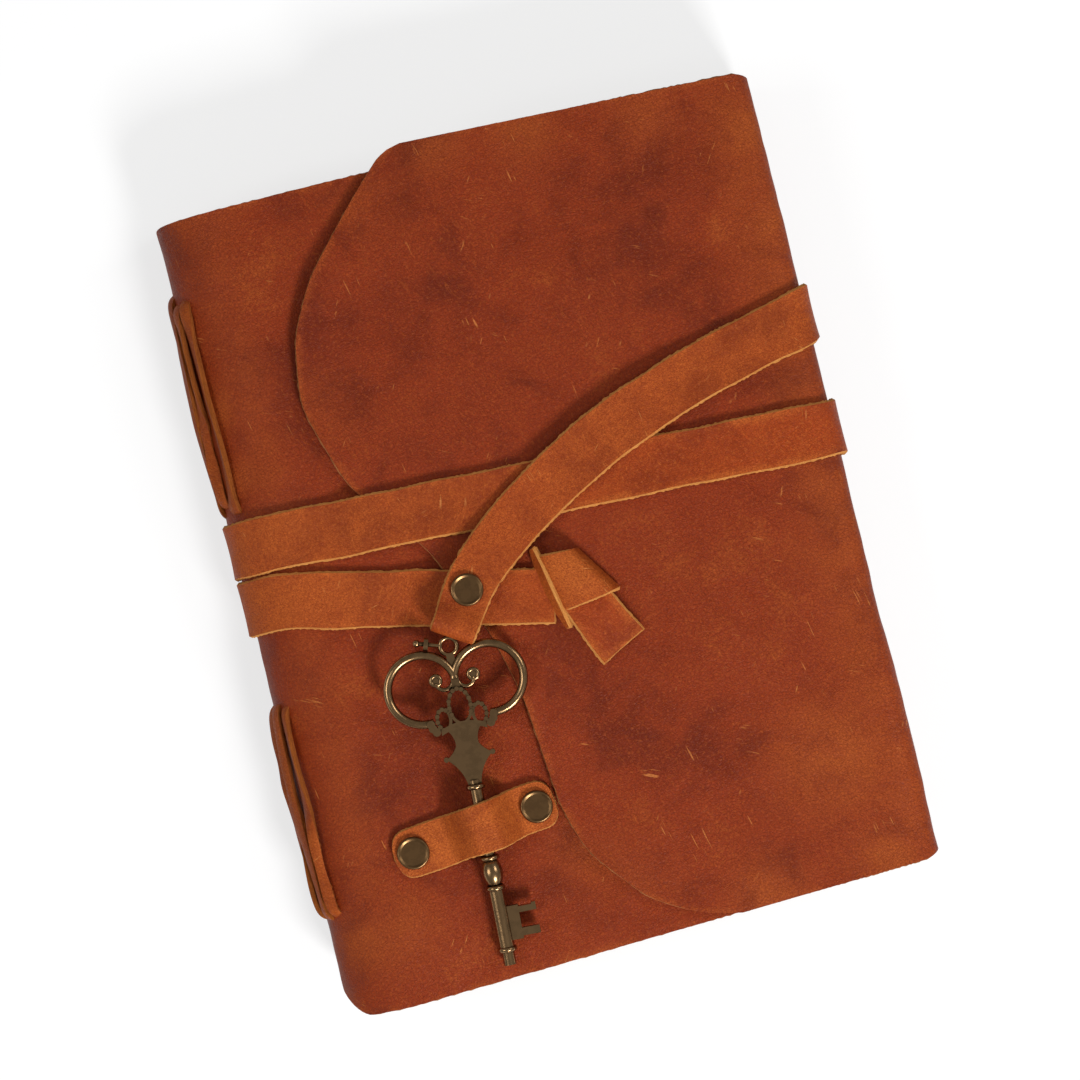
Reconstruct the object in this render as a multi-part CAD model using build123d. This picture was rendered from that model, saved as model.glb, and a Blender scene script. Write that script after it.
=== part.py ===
"""Leather wrap diary held shut by a strap that ends in a decorative key.

One hide makes the back, the spine, the front, the fore-edge and the flap. A strap starts at a
knot on the flap, goes twice round the book and ends in a fold that holds a key, whose stem is
tucked under a riveted keeper on the front. Inside are sewn gatherings of handmade paper.

Frame, in millimetres: the book lies on its back with +Z up, +Y towards its head and +X towards
the fore-edge. The origin is on the table, under the strap that the book rests on.
"""
import os
from math import atan2, cos, degrees, hypot, radians, sin

from build123d import *

# Paper
PAGE_WIDTH = 127.0
PAGE_HEIGHT = 178.0
SIGNATURE_COUNT = 6
SIGNATURE_THICKNESS = 3.4
SIGNATURE_GAP = 0.2
FOLD_ROUND = 1.5

# Cover hide
COVER_HEIGHT = 184.0
LEATHER = 2.0
SEAT = 0.3
SPINE_X = -61.0
SPINE_RADIUS = 9.0
FOLD_REACH = 1.7
FORE_EDGE_GAP = 1.2
FORE_EDGE_RADIUS = 4.5
CORNER_RADIUS = 4.0

# Free edge of the flap, from its head corner to its tail corner
FLAP_HEAD_X = -13.0
FLAP_UPPER = (-37.5, 70.0)
FLAP_CREST = (-46.0, 43.0)
FLAP_RETURN = (-40.5, 21.0)
FLAP_WAIST = (-26.0, 3.0)
FLAP_HOLLOW = (-17.0, -23.0)
FLAP_LOWER = (-13.0, -50.0)
FLAP_SWEEP = (-6.0, -74.0)
FLAP_TAIL_X = 11.0

# Lacing that sews the gatherings through the spine
LACE_WIDTH = 3.2
LACE_THICKNESS = 1.1
LACE_ROUND = 0.9
LACE_NEAR = 22.0
LACE_FAR = 73.0
LACE_LEG = 1.8
LACE_PITCH = 4.9
LACE_SLIT_CLEARANCE = 0.1

# Strap
STRAP_WIDTH = 13.0
STRAP_THICKNESS = 1.4
STRAP_LEFT_LOW_Y = 0.0
STRAP_LEFT_HIGH_Y = 13.5
STRAP_RIGHT_LOW_Y = 8.2
STRAP_RIGHT_HIGH_Y = 33.2
STRAP_START = (-5.6, -12.8)
TAIL_HEADING = 196.0
TAIL_POINTS = ((42.1, 27.6), (15.5, 17.5), (-4.2, 5.9))
TAIL_RAMP = 20.0
TAIL_END_RAMP = 10.0

# Folded strap end that holds the key
END_HEADING = 238.0
END_WIDTH = 10.4
END_RIVET_BACK = 9.0
END_LENGTH = 14.0
END_FOLD_INNER = 1.1
END_LAYER_GAP = 0.2
END_LAP = 1.0
END_NOTCH_CLEARANCE = 0.3

# Knot on the flap: a cut end under a loop, beside a fold that stands on edge
KNOT_TAIL_START = (2.9, -7.2)
KNOT_TAIL_HEADING = -66.0
KNOT_TAIL_LENGTH = 23.6
KNOT_TAIL_WIDTH = 12.2
KNOT_TAIL_NECK = 6.4
KNOT_NECK_LENGTH = 11.0
KNOT_SHOULDER = 3.0
KNOT_ARCH = 1.4
KNOT_LOOP_START = (2.4, -4.6)
KNOT_LOOP_HEADING = -68.0
KNOT_LOOP_WIDTH = 12.0
KNOT_LOOP_INSIDE = 9.0
KNOT_LOOP_ROUND = 2.4
KNOT_FOLD_START = (-5.0, -2.6)
KNOT_FOLD_END = (-1.0, -21.0)
KNOT_FOLD_HEIGHT = 3.6

# Key, measured from its eyelet down its stem
KEY_EYELET = (-27.0, -18.8)
KEY_HEADING = 267.0
KEY_LENGTH = 73.6
EYELET_RADIUS = 1.9
EYELET_WIRE = 0.5
NECK_HALF = 0.9
BAR_RISE = 3.8
BAR_SHIFT = 2.2
BAR_RADIUS = 0.8
BAR_HALF = 4.6
PIN_OUT = 7.0
PIN_RISE = 1.9
PIN_RADIUS = 0.5
PIN_BALL = 0.85
PIN_DISC = 1.5
PIN_DISC_OUT = 4.9
SCROLL_RADIUS = 7.85
SCROLL_WIRE = 1.0
SCROLL_OUT = 7.6
SCROLL_RISE = 10.3
SCROLL_START = -98.0
SCROLL_SWEEP = 268.0
CURL_RADIUS = 1.1
CURL_OUT = 4.3
CURL_RISE = 11.8
CURL_WIRE = 0.5
CURL_BOSS = 0.8
CURL_LINK_RADIUS = 1.9
CURL_LINK_OUT = 2.5
CURL_LINK_RISE = 11.3
CURL_LINK_START = 195.0
CURL_LINK_SWEEP = 160.0
BOW_THICKNESS = 1.8
CROWN_BASE = 19.0
CROWN_HALF = 5.2
CROWN_ARCH = 1.2
CROWN_BAND = 1.3
CROWN_RING = 0.7
CROWN_BEAD = 0.5
MIDDLE_LOBE_HALF = 2.1
MIDDLE_LOBE_TALL = 3.6
MIDDLE_LOBE_RISE = 5.35
SIDE_LOBE_HALF = 1.15
SIDE_LOBE_TALL = 2.0
SIDE_LOBE_RISE = 2.9
SIDE_LOBE_OUT = 4.1
MIDDLE_BEADS = 11
SIDE_BEADS = 6
MIDDLE_BEAD_DIP = 25.0
SIDE_BEAD_OUTER = 130.0
SIDE_BEAD_INNER = 30.0
TRIM_PEG = 0.95
TRIM_PEGS = ((6.2, 0.4), (6.9, 1.3), (7.2, 2.3))
SHIELD_END = 32.0
SHIELD_TOP_HALF = 4.2
SHIELD_WAIST_HALF = 2.6
SHIELD_WAIST_DROP = 3.6
SHIELD_POINT_HALF = 5.3
SHIELD_POINT_DROP = 6.2
SHIELD_KNOB = 0.6
STEM_RADIUS = 1.45
COLLAR_RADIUS = 2.25
COLLAR_LENGTH = 1.2
COLLAR_ROUND = 0.5
UPPER_COLLAR = 31.7
LOWER_COLLAR = 48.2
BALUSTER_RADIUS = 2.4
RING_COLLAR = 55.2
BARREL_RADIUS = 1.8
TIP_COLLAR = 69.4
BIT_START = 60.4
BIT_LENGTH = 7.8
BIT_BODY = 4.2
BIT_REACH = 8.2
BIT_THICKNESS = 1.6
BIT_TOOTH = 1.8
BIT_HOOK = 1.0

# Keeper and rivets
KEEPER_LEFT = (-46.1, -62.5)
KEEPER_RIGHT = (-16.5, -59.0)
KEEPER_WIDTH = 11.4
KEEPER_END = 4.1
KEEPER_ROUND = 3.6
KEEPER_THICKNESS = 1.6
KEEPER_CLEARANCE = 0.3
KEEPER_RAMP = 8.4
RIVET_CAP_RADIUS = 3.7
RIVET_CAP_HEIGHT = 1.1
RIVET_RIM = 0.45
RIVET_POST_RADIUS = 1.3
RIVET_BACK_HEIGHT = 0.7
RIVET_CLEARANCE = 0.05

# Levels, from the table up
BACK_LOW = STRAP_THICKNESS + SEAT
BACK_TOP = BACK_LOW + LEATHER
PAPER_LOW = BACK_TOP + SEAT
PAPER_TOP = PAPER_LOW + SIGNATURE_COUNT * (SIGNATURE_THICKNESS + SIGNATURE_GAP) - SIGNATURE_GAP
FRONT_LOW = PAPER_TOP + SEAT
FRONT_TOP = FRONT_LOW + LEATHER
FLAP_LOW = FRONT_TOP + SEAT
FLAP_TOP = FLAP_LOW + LEATHER
RUN_LOW = FLAP_TOP + SEAT
RUN_TOP = RUN_LOW + STRAP_THICKNESS
TAIL_LOW = RUN_TOP + SEAT
TAIL_TOP = TAIL_LOW + STRAP_THICKNESS
FOLD_LOW = TAIL_TOP + END_LAYER_GAP
FOLD_TOP = FOLD_LOW + STRAP_THICKNESS
KEY_LEVEL = TAIL_LOW + STRAP_THICKNESS + END_FOLD_INNER
HEADROOM = 2 * FOLD_TOP
EYELET_HALF = EYELET_RADIUS + EYELET_WIRE

# Places across the book
PAGE_LEFT = SPINE_X - FOLD_REACH
PAGE_RIGHT = PAGE_LEFT + PAGE_WIDTH
FORE_X = PAGE_RIGHT + FORE_EDGE_GAP
HALF_HEIGHT = COVER_HEIGHT / 2


def heading(angle):
    """Unit vector in plan for a heading in degrees."""
    return Vector(cos(radians(angle)), sin(radians(angle)), 0)


def along_y(section, low, high):
    """Solid from a section drawn in X and Z, carried from one Y to another."""
    side = Plane((0, high, 0), x_dir=(1, 0, 0), z_dir=(0, -1, 0))
    return extrude(side * section, amount=high - low)


def box_section(left, right, low, high):
    """Rectangle given by its limits."""
    return Pos((left + right) / 2, (low + high) / 2) * Rectangle(right - left, high - low)


def wrap_section(center_x, side, radius, low, high, thickness):
    """Band that turns round an edge of the book, from one level to another."""
    inner = radius - thickness
    upper, lower = high - radius, low + radius
    outline = [
        CenterArc((0, upper), radius, 0, 90),
        Line((radius, upper), (radius, lower)),
        CenterArc((0, lower), radius, 270, 90),
        Line((0, low), (0, low + thickness)),
        CenterArc((0, lower), inner, 270, 90),
        Line((inner, lower), (inner, upper)),
        CenterArc((0, upper), inner, 0, 90),
        Line((0, high - thickness), (0, high)),
    ]
    section = make_face(outline)
    if side < 0:
        section = mirror(section, about=Plane.YZ)
    return Pos(center_x, 0) * section


def plate(outline, low, high):
    """Flat piece with a plan outline between two levels."""
    return extrude(Pos(0, 0, low) * outline, amount=high - low)


def slanted(left, left_y, right, right_y, width):
    """Plan of a straight strap run between two X places."""
    half = width / 2
    lower = [(left, left_y - half), (right, right_y - half)]
    upper = [(right, right_y + half), (left, left_y + half)]
    return make_face(Polyline(*lower, *upper, close=True))


def half_width_across(angle):
    """Half of the strap's extent in Y where it crosses an edge at a heading."""
    return STRAP_WIDTH / abs(cos(radians(angle))) / 2


def run_angle(left, left_y, right, right_y):
    """Heading of a strap run in degrees."""
    return degrees(atan2(right_y - left_y, right - left))


# Hide

def make_back_cover():
    return plate(box_section(SPINE_X, FORE_X, -HALF_HEIGHT, HALF_HEIGHT), BACK_LOW, BACK_TOP)


def make_front_cover():
    outline = box_section(SPINE_X, FORE_X - SEAT, -HALF_HEIGHT, HALF_HEIGHT)
    free_corners = outline.vertices().sort_by(Axis.X)[-2:]
    cover = plate(fillet(free_corners, CORNER_RADIUS), FRONT_LOW, FRONT_TOP)
    for x, y in (KEEPER_LEFT, KEEPER_RIGHT):
        cover -= rivet_room(x, y, FRONT_LOW, FRONT_TOP)
    return cover


def make_fore_edge():
    section = wrap_section(FORE_X, 1, FORE_EDGE_RADIUS, BACK_LOW, FLAP_TOP, LEATHER)
    return along_y(section, -HALF_HEIGHT, HALF_HEIGHT)


def make_flap():
    head = (FLAP_HEAD_X, HALF_HEIGHT)
    tail = (FLAP_TAIL_X, -HALF_HEIGHT)
    outline = [
        ThreePointArc(head, FLAP_UPPER, FLAP_CREST),
        ThreePointArc(FLAP_CREST, FLAP_RETURN, FLAP_WAIST),
        ThreePointArc(FLAP_WAIST, FLAP_HOLLOW, FLAP_LOWER),
        ThreePointArc(FLAP_LOWER, FLAP_SWEEP, tail),
        Polyline(tail, (FORE_X, -HALF_HEIGHT), (FORE_X, HALF_HEIGHT), head),
    ]
    return plate(make_face(outline), FLAP_LOW, FLAP_TOP)


# Paper and its sewing

def make_signature(index):
    low = PAPER_LOW + index * (SIGNATURE_THICKNESS + SIGNATURE_GAP)
    section = box_section(PAGE_LEFT, PAGE_RIGHT, low, low + SIGNATURE_THICKNESS)
    folded = section.vertices().sort_by(Axis.X)[:2]
    return along_y(fillet(folded, FOLD_ROUND), -PAGE_HEIGHT / 2, PAGE_HEIGHT / 2)


def lace_places():
    """Frames on the outside of the spine, one for each gathering: X leaves the spine."""
    middle = (BACK_LOW + FRONT_TOP) / 2
    straight = (FRONT_TOP - BACK_LOW) / 2 - SPINE_RADIUS
    for index in range(SIGNATURE_COUNT):
        reach = (index - (SIGNATURE_COUNT - 1) / 2) * LACE_PITCH
        past = max(abs(reach) - straight, 0.0)
        side = 1 if reach > 0 else -1
        turn = past / SPINE_RADIUS
        level = middle + side * (min(abs(reach), straight) + SPINE_RADIUS * sin(turn))
        out = Vector(-cos(turn), 0, side * sin(turn))
        origin = Vector(SPINE_X - SPINE_RADIUS * cos(turn), 0, level)
        yield Plane(origin, x_dir=out, z_dir=(out.Z, 0, -out.X))


def lace_legs(clearance):
    """The two ends of a lace, which pass through the leather."""
    legs = Part()
    for y in (LACE_NEAR + LACE_THICKNESS / 2, LACE_FAR - LACE_THICKNESS / 2):
        inner = LEATHER + LACE_LEG
        leg = Box(inner, LACE_THICKNESS + 2 * clearance, LACE_WIDTH + 2 * clearance)
        legs += Pos(-inner / 2, y) * leg
    return legs


def make_lace():
    outer = box_section(0, LACE_THICKNESS, LACE_NEAR, LACE_FAR)
    outer = fillet(outer.vertices().sort_by(Axis.X)[-2:], LACE_ROUND)
    run = extrude(outer, amount=LACE_WIDTH / 2, both=True)
    return run + lace_legs(0)


def make_lacing(side):
    """One row of laces, towards the head or the tail of the book."""
    lace = make_lace()
    if side < 0:
        lace = mirror(lace, about=Plane.XZ)
    return Compound(children=[(place * lace).solid() for place in lace_places()])


def make_spine():
    section = wrap_section(SPINE_X, -1, SPINE_RADIUS, BACK_LOW, FRONT_TOP, LEATHER)
    spine = along_y(section, -HALF_HEIGHT, HALF_HEIGHT)
    slits = lace_legs(LACE_SLIT_CLEARANCE)
    slits += mirror(slits, about=Plane.XZ)
    for place in lace_places():
        spine -= place * slits
    return spine


# Strap

def tail_route():
    """Centre line of the strap's last run, from the fore-edge to the folded end."""
    start = Vector(FORE_X, STRAP_RIGHT_HIGH_Y)
    end = end_place().origin
    first, last = heading(TAIL_HEADING), heading(END_HEADING)
    outside = start - first * STRAP_WIDTH
    points = [Vector(*point) for point in TAIL_POINTS]
    return Line(outside, start) + Spline(start, *points, Vector(end.X, end.Y), tangents=[first, last])


def bar_point():
    """Middle of the key's cross bar, which the strap's fold goes round."""
    up, right = heading(KEY_HEADING + 180), heading(KEY_HEADING + 90)
    return Vector(*KEY_EYELET, KEY_LEVEL) + up * BAR_RISE + right * BAR_SHIFT


def end_place():
    """Frame of the folded end: X along the strap, from the last run towards the key."""
    along = heading(END_HEADING)
    origin = bar_point() - along * END_LENGTH
    return Plane((origin.X, origin.Y, 0), x_dir=along, z_dir=(0, 0, 1))


def make_back_run(left_y, right_y):
    angle = run_angle(SPINE_X, left_y, FORE_X, right_y)
    width = 2 * half_width_across(angle)
    return plate(slanted(SPINE_X, left_y, FORE_X, right_y, width), 0, STRAP_THICKNESS)


def make_front_run(left_y, right, right_y):
    angle = run_angle(SPINE_X, left_y, right, right_y)
    width = 2 * half_width_across(angle)
    return plate(slanted(SPINE_X, left_y, right, right_y, width), RUN_LOW, RUN_TOP)


def make_spine_turn(y, half):
    radius = SPINE_RADIUS + SEAT + LACE_THICKNESS + SEAT + STRAP_THICKNESS
    return along_y(wrap_section(SPINE_X, -1, radius, 0, RUN_TOP, STRAP_THICKNESS), y - half, y + half)


def make_fore_turn(y, half):
    radius = FORE_EDGE_RADIUS + SEAT + STRAP_THICKNESS
    return along_y(wrap_section(FORE_X, 1, radius, 0, RUN_TOP, STRAP_THICKNESS), y - half, y + half)


def make_tail_run():
    """Last run of the strap, which climbs over the run below it and then over its own fold."""
    plan = trace(tail_route(), line_width=STRAP_WIDTH)
    end_x = end_place().origin.X
    levels = [
        (FORE_X, RUN_LOW),
        (FORE_X - TAIL_RAMP, TAIL_LOW),
        (end_x + TAIL_END_RAMP, TAIL_LOW),
        (end_x, FOLD_LOW),
        (end_x - STRAP_WIDTH, FOLD_LOW),
    ]
    over = [(x, z + STRAP_THICKNESS) for x, z in reversed(levels)]
    profile = make_face(Polyline(*levels, *over, close=True))
    return plate(plan, 0, HEADROOM) & along_y(profile, -HALF_HEIGHT, HALF_HEIGHT)


def make_strap_end():
    """Folded end: the strap comes in on top, goes round the key's bar and returns below."""
    outer = END_FOLD_INNER + STRAP_THICKNESS
    lower_start = END_LENGTH - END_RIVET_BACK - RIVET_CAP_RADIUS - END_LAP
    loop_z = KEY_LEVEL
    upper = box_section(0, END_LENGTH, FOLD_LOW, FOLD_TOP)
    lower = box_section(lower_start, END_LENGTH, TAIL_LOW, TAIL_TOP)
    loop = Pos(END_LENGTH, loop_z) * (Circle(outer) - Circle(END_FOLD_INNER))
    mouth = box_section(END_LENGTH - outer, END_LENGTH, TAIL_TOP, FOLD_LOW)
    section = upper + lower + loop - mouth
    section -= Pos(END_LENGTH, loop_z) * Circle(END_FOLD_INNER)
    strip = extrude(Plane.XZ * section, amount=END_WIDTH / 2, both=True)
    strip -= rivet_room(END_LENGTH - END_RIVET_BACK, 0, TAIL_LOW, FOLD_TOP)
    reach = 2 * (BAR_RISE + BAR_RADIUS)
    notch = Box(STRAP_WIDTH, reach, HEADROOM, align=(Align.MAX, Align.CENTER, Align.CENTER))
    scroll_top = SCROLL_RISE - CROWN_BASE + SCROLL_RADIUS + SCROLL_WIRE
    below = Box(2 * STRAP_WIDTH, STRAP_WIDTH, HEADROOM, align=(Align.CENTER, Align.MAX, Align.CENTER))
    cuts = Pos(EYELET_HALF + END_NOTCH_CLEARANCE) * notch + Pos(0, scroll_top + END_NOTCH_CLEARANCE) * below
    return end_place() * strip - key_place() * cuts


# Knot

def make_knot_tail():
    """Cut end of the strap, which arches out from under the knot's loop."""
    low, high = RUN_TOP + SEAT, RUN_TOP + SEAT + STRAP_THICKNESS
    half = KNOT_TAIL_LENGTH / 2
    under = ThreePointArc((0, low), (half, low + KNOT_ARCH), (KNOT_TAIL_LENGTH, RUN_LOW))
    over = ThreePointArc((KNOT_TAIL_LENGTH, RUN_TOP), (half, high + KNOT_ARCH), (0, high))
    sides = [Line((KNOT_TAIL_LENGTH, RUN_LOW), (KNOT_TAIL_LENGTH, RUN_TOP)), Line((0, high), (0, low))]
    strip = extrude(Plane.XZ * make_face([under, over, *sides]), amount=KNOT_TAIL_WIDTH, both=True)
    right = [
        (0, -KNOT_TAIL_NECK / 2), (KNOT_NECK_LENGTH, -KNOT_TAIL_NECK / 2),
        (KNOT_NECK_LENGTH + KNOT_SHOULDER, -KNOT_TAIL_WIDTH / 2), (KNOT_TAIL_LENGTH, -KNOT_TAIL_WIDTH / 2),
    ]
    left = [(x, -y) for x, y in reversed(right)]
    strip &= plate(make_face(Polyline(*right, *left, close=True)), 0, HEADROOM)
    return Plane((*KNOT_TAIL_START, 0), x_dir=heading(KNOT_TAIL_HEADING), z_dir=(0, 0, 1)) * strip


def make_knot_loop():
    """Loop of strap drawn over the cut end, with both feet on the flap."""
    inside = KNOT_LOOP_INSIDE / 2
    outside = inside + STRAP_THICKNESS
    roof = RUN_TOP + STRAP_THICKNESS + KNOT_ARCH + 2 * SEAT
    top = roof + STRAP_THICKNESS
    bridge = box_section(-outside, outside, RUN_LOW, top)
    bridge = fillet(bridge.vertices().sort_by(Axis.Y)[-2:], KNOT_LOOP_ROUND)
    tunnel = box_section(-inside, inside, RUN_LOW, roof)
    tunnel = fillet(tunnel.vertices().sort_by(Axis.Y)[-2:], KNOT_LOOP_ROUND - STRAP_THICKNESS)
    section = Plane((*KNOT_LOOP_START, 0), x_dir=(1, 0, 0), z_dir=(0, -1, 0)) * (bridge - tunnel)
    return extrude(section, amount=KNOT_LOOP_WIDTH, dir=heading(KNOT_LOOP_HEADING))


def make_knot_fold():
    """Edge of the strap that stands up where it is drawn tight."""
    start, end = Vector(*KNOT_FOLD_START), Vector(*KNOT_FOLD_END)
    plan = Pos((end - start).length / 2, 0) * Rectangle((end - start).length, STRAP_THICKNESS)
    fold = plate(plan, RUN_LOW, RUN_LOW + KNOT_FOLD_HEIGHT)
    upper = fold.edges().filter_by(Axis.X).group_by(Axis.Z)[-1]
    return Plane(start, x_dir=end - start, z_dir=(0, 0, 1)) * fillet(upper, STRAP_THICKNESS / 3)


# Rivets and keeper

def rivet_room(x, y, low, high):
    """Hole for a rivet's post, with a recess for its back cap."""
    upward = (Align.CENTER, Align.CENTER, Align.MIN)
    hole = Cylinder(RIVET_POST_RADIUS + RIVET_CLEARANCE, high - low, align=upward)
    recess = Cylinder(RIVET_CAP_RADIUS + RIVET_CLEARANCE, RIVET_BACK_HEIGHT, align=upward)
    return Pos(x, y, low) * (hole + recess)


def make_rivet(low, high):
    """Rivet with a rimmed cap above and a post that ends in the back cap."""
    post_low = low + RIVET_BACK_HEIGHT
    rim = RIVET_CAP_RADIUS - RIVET_RIM
    top = high + RIVET_CAP_HEIGHT
    floor = top - RIVET_RIM / 2
    outline = [
        Polyline((0, post_low), (RIVET_POST_RADIUS, post_low), (RIVET_POST_RADIUS, high)),
        Line((RIVET_POST_RADIUS, high), (RIVET_CAP_RADIUS, high)),
        Line((RIVET_CAP_RADIUS, high), (RIVET_CAP_RADIUS, high + RIVET_CAP_HEIGHT / 2)),
        ThreePointArc(
            (RIVET_CAP_RADIUS, high + RIVET_CAP_HEIGHT / 2),
            (RIVET_CAP_RADIUS - RIVET_RIM / 4, top - RIVET_RIM / 4),
            (rim, top),
        ),
        Polyline((rim, top), (rim - RIVET_RIM, floor), (0, floor), (0, post_low)),
    ]
    return revolve(Plane.XZ * make_face(outline), Axis.Z)


def make_rivet_back(low):
    """Plain cap on the back of a rivet."""
    cap = Cylinder(RIVET_CAP_RADIUS, RIVET_BACK_HEIGHT, align=(Align.CENTER, Align.CENTER, Align.MIN))
    return Pos(0, 0, low) * cap


def keeper_place():
    """Frame of the keeper: X from its left rivet to its right one."""
    left, right = Vector(*KEEPER_LEFT), Vector(*KEEPER_RIGHT)
    return Plane(left, x_dir=right - left, z_dir=(0, 0, 1))


def keeper_length():
    return hypot(KEEPER_RIGHT[0] - KEEPER_LEFT[0], KEEPER_RIGHT[1] - KEEPER_LEFT[1])


def stem_crossing():
    """Where the key's stem passes under the keeper: its distance along the keeper and its level."""
    place = keeper_place()
    eyelet = place.to_local_coords(Vector(*KEY_EYELET))
    down = place.to_local_coords(Vector(*KEY_EYELET) + heading(KEY_HEADING)) - eyelet
    travel = -eyelet.Y / down.Y
    return eyelet.X + down.X * travel, KEY_LEVEL - travel * key_slope()


def keeper_line(middle, low, high, ramp, length):
    """Side view of one face of the keeper: flat at its rivets and raised over the stem."""
    left, right = (middle - ramp, low), (middle + ramp, low)
    before, after = middle - ramp / 2, middle + ramp / 2
    rise = Bezier(left, (before, low), (before, high), (middle, high))
    fall = Bezier((middle, high), (after, high), (after, low), right)
    return Line((-KEEPER_END, low), left) + rise + fall + Line(right, (length + KEEPER_END, low))


def make_keeper():
    """Short strip over the key's stem, raised in the middle and riveted at both ends."""
    length = keeper_length()
    middle, stem_z = stem_crossing()
    roof = stem_z + COLLAR_RADIUS + KEEPER_CLEARANCE
    under = keeper_line(middle, FRONT_TOP, roof, KEEPER_RAMP, length)
    over = keeper_line(
        middle, FRONT_TOP + KEEPER_THICKNESS, roof + KEEPER_THICKNESS,
        KEEPER_RAMP + KEEPER_THICKNESS / 2, length,
    )
    ends = [Line(under @ 0, over @ 0), Line(under @ 1, over @ 1)]
    section = make_face([*under.edges(), *over.edges(), *ends])
    strip = extrude(Plane.XZ * section, amount=KEEPER_WIDTH, both=True)
    plan = Pos(length / 2, 0) * RectangleRounded(length + 2 * KEEPER_END, KEEPER_WIDTH, KEEPER_ROUND)
    strip &= plate(plan, 0, HEADROOM)
    for x in (0, length):
        strip -= Pos(x, 0, 0) * Cylinder(RIVET_POST_RADIUS + RIVET_CLEARANCE, HEADROOM * 2)
    return keeper_place() * strip


# Key

def key_slope():
    """Fall of the key per millimetre, from the strap's fold to where its tip nears the front."""
    return (KEY_LEVEL - FRONT_TOP - COLLAR_RADIUS - SEAT) / KEY_LENGTH


def key_place():
    """Frame of the key: origin at its eyelet, Y up the stem, Z away from the book. Its cross bar
    is level with the strap's fold."""
    down = heading(KEY_HEADING) - Vector(0, 0, key_slope())
    right = heading(KEY_HEADING + 90)
    level = KEY_LEVEL - BAR_RISE * key_slope()
    return Plane(Vector(*KEY_EYELET, level), x_dir=right, z_dir=right.cross(down * -1))


def collar_edges(start, before, after):
    """Rounded collar on the stem, between two radii."""
    top, bottom = -start, -(start + COLLAR_LENGTH)
    side = COLLAR_RADIUS - COLLAR_ROUND
    return [
        Line((before, top), (side, top)),
        ThreePointArc((side, top), (COLLAR_RADIUS, (top + bottom) / 2), (side, bottom)),
        Line((side, bottom), (after, bottom)),
    ]


def make_stem():
    """Turned stem: collars, baluster, barrel and tip, revolved about the key's axis."""
    top = -(SHIELD_END - COLLAR_LENGTH)
    belly, ring = LOWER_COLLAR + COLLAR_LENGTH, RING_COLLAR
    outline = [
        Line((0, top), (STEM_RADIUS, top)),
        Line((STEM_RADIUS, top), (STEM_RADIUS, -UPPER_COLLAR)),
        *collar_edges(UPPER_COLLAR, STEM_RADIUS, STEM_RADIUS),
        Line((STEM_RADIUS, -UPPER_COLLAR - COLLAR_LENGTH), (STEM_RADIUS, -LOWER_COLLAR)),
        *collar_edges(LOWER_COLLAR, STEM_RADIUS, STEM_RADIUS),
        ThreePointArc((STEM_RADIUS, -belly), (BALUSTER_RADIUS, -(belly + ring) / 2), (STEM_RADIUS, -ring)),
        *collar_edges(RING_COLLAR, STEM_RADIUS, BARREL_RADIUS),
        Line((BARREL_RADIUS, -RING_COLLAR - COLLAR_LENGTH), (BARREL_RADIUS, -TIP_COLLAR)),
        *collar_edges(TIP_COLLAR, BARREL_RADIUS, STEM_RADIUS),
        Line((STEM_RADIUS, -TIP_COLLAR - COLLAR_LENGTH), (STEM_RADIUS, -KEY_LENGTH)),
        Polyline((STEM_RADIUS, -KEY_LENGTH), (0, -KEY_LENGTH), (0, top)),
    ]
    return revolve(make_face(outline), Axis.Y)


def ring_arc(center, radius, wire, start, sweep_angle):
    """Stretch of a round wire ring in the plane of the bow."""
    section = Plane.XZ * (Pos(radius, 0) * Circle(wire))
    return Pos(*center) * (Rot(0, 0, start) * revolve(section, Axis.Z, revolution_arc=sweep_angle))


def make_lobe(out, rise, half, tall):
    """Oval opening of the crown with its rim."""
    rim = Ellipse(half + CROWN_RING, tall + CROWN_RING) - Ellipse(half, tall)
    return Pos(out, -(CROWN_BASE - rise)) * rim


def lobe_beads(out, rise, half, tall, count, first, last):
    """Beads along the rim of an opening, between two angles."""
    beads = []
    for index in range(count):
        angle = radians(first + (last - first) * index / (count - 1))
        x = out + (half + CROWN_RING / 2) * cos(angle)
        y = -(CROWN_BASE - rise) + (tall + CROWN_RING / 2) * sin(angle)
        beads.append(Pos(x, y) * Cylinder(CROWN_BEAD, BOW_THICKNESS + CROWN_BEAD))
    return beads


def make_crown():
    """Pierced crown on its arched band, trimmed with beads."""
    ends = (CROWN_HALF, -CROWN_BASE - CROWN_BAND / 2)
    lift = Vector(0, CROWN_BAND)
    low = ThreePointArc((-ends[0], ends[1]), (0, ends[1] + CROWN_ARCH), ends)
    high = Pos(lift) * low
    sketch = make_face([low, high, Line(low @ 0, high @ 0), Line(low @ 1, high @ 1)])
    middle = (0, MIDDLE_LOBE_RISE, MIDDLE_LOBE_HALF, MIDDLE_LOBE_TALL)
    sketch += make_lobe(*middle)
    beads = lobe_beads(*middle, MIDDLE_BEADS, -MIDDLE_BEAD_DIP, 180 + MIDDLE_BEAD_DIP)
    for side in (-1, 1):
        lobe = (side * SIDE_LOBE_OUT, SIDE_LOBE_RISE, SIDE_LOBE_HALF, SIDE_LOBE_TALL)
        sketch += make_lobe(*lobe)
        beads += lobe_beads(*lobe, SIDE_BEADS, 90 - side * SIDE_BEAD_OUTER, 90 + side * SIDE_BEAD_INNER)
    crown = extrude(sketch, amount=BOW_THICKNESS / 2, both=True)
    for side in (-1, 1):
        for out, rise in TRIM_PEGS:
            peg = Cylinder(TRIM_PEG, BOW_THICKNESS + CROWN_BEAD)
            beads.append(Pos(side * out, -(CROWN_BASE - rise)) * peg)
    for bead in beads:
        crown += bead
    return crown


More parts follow.
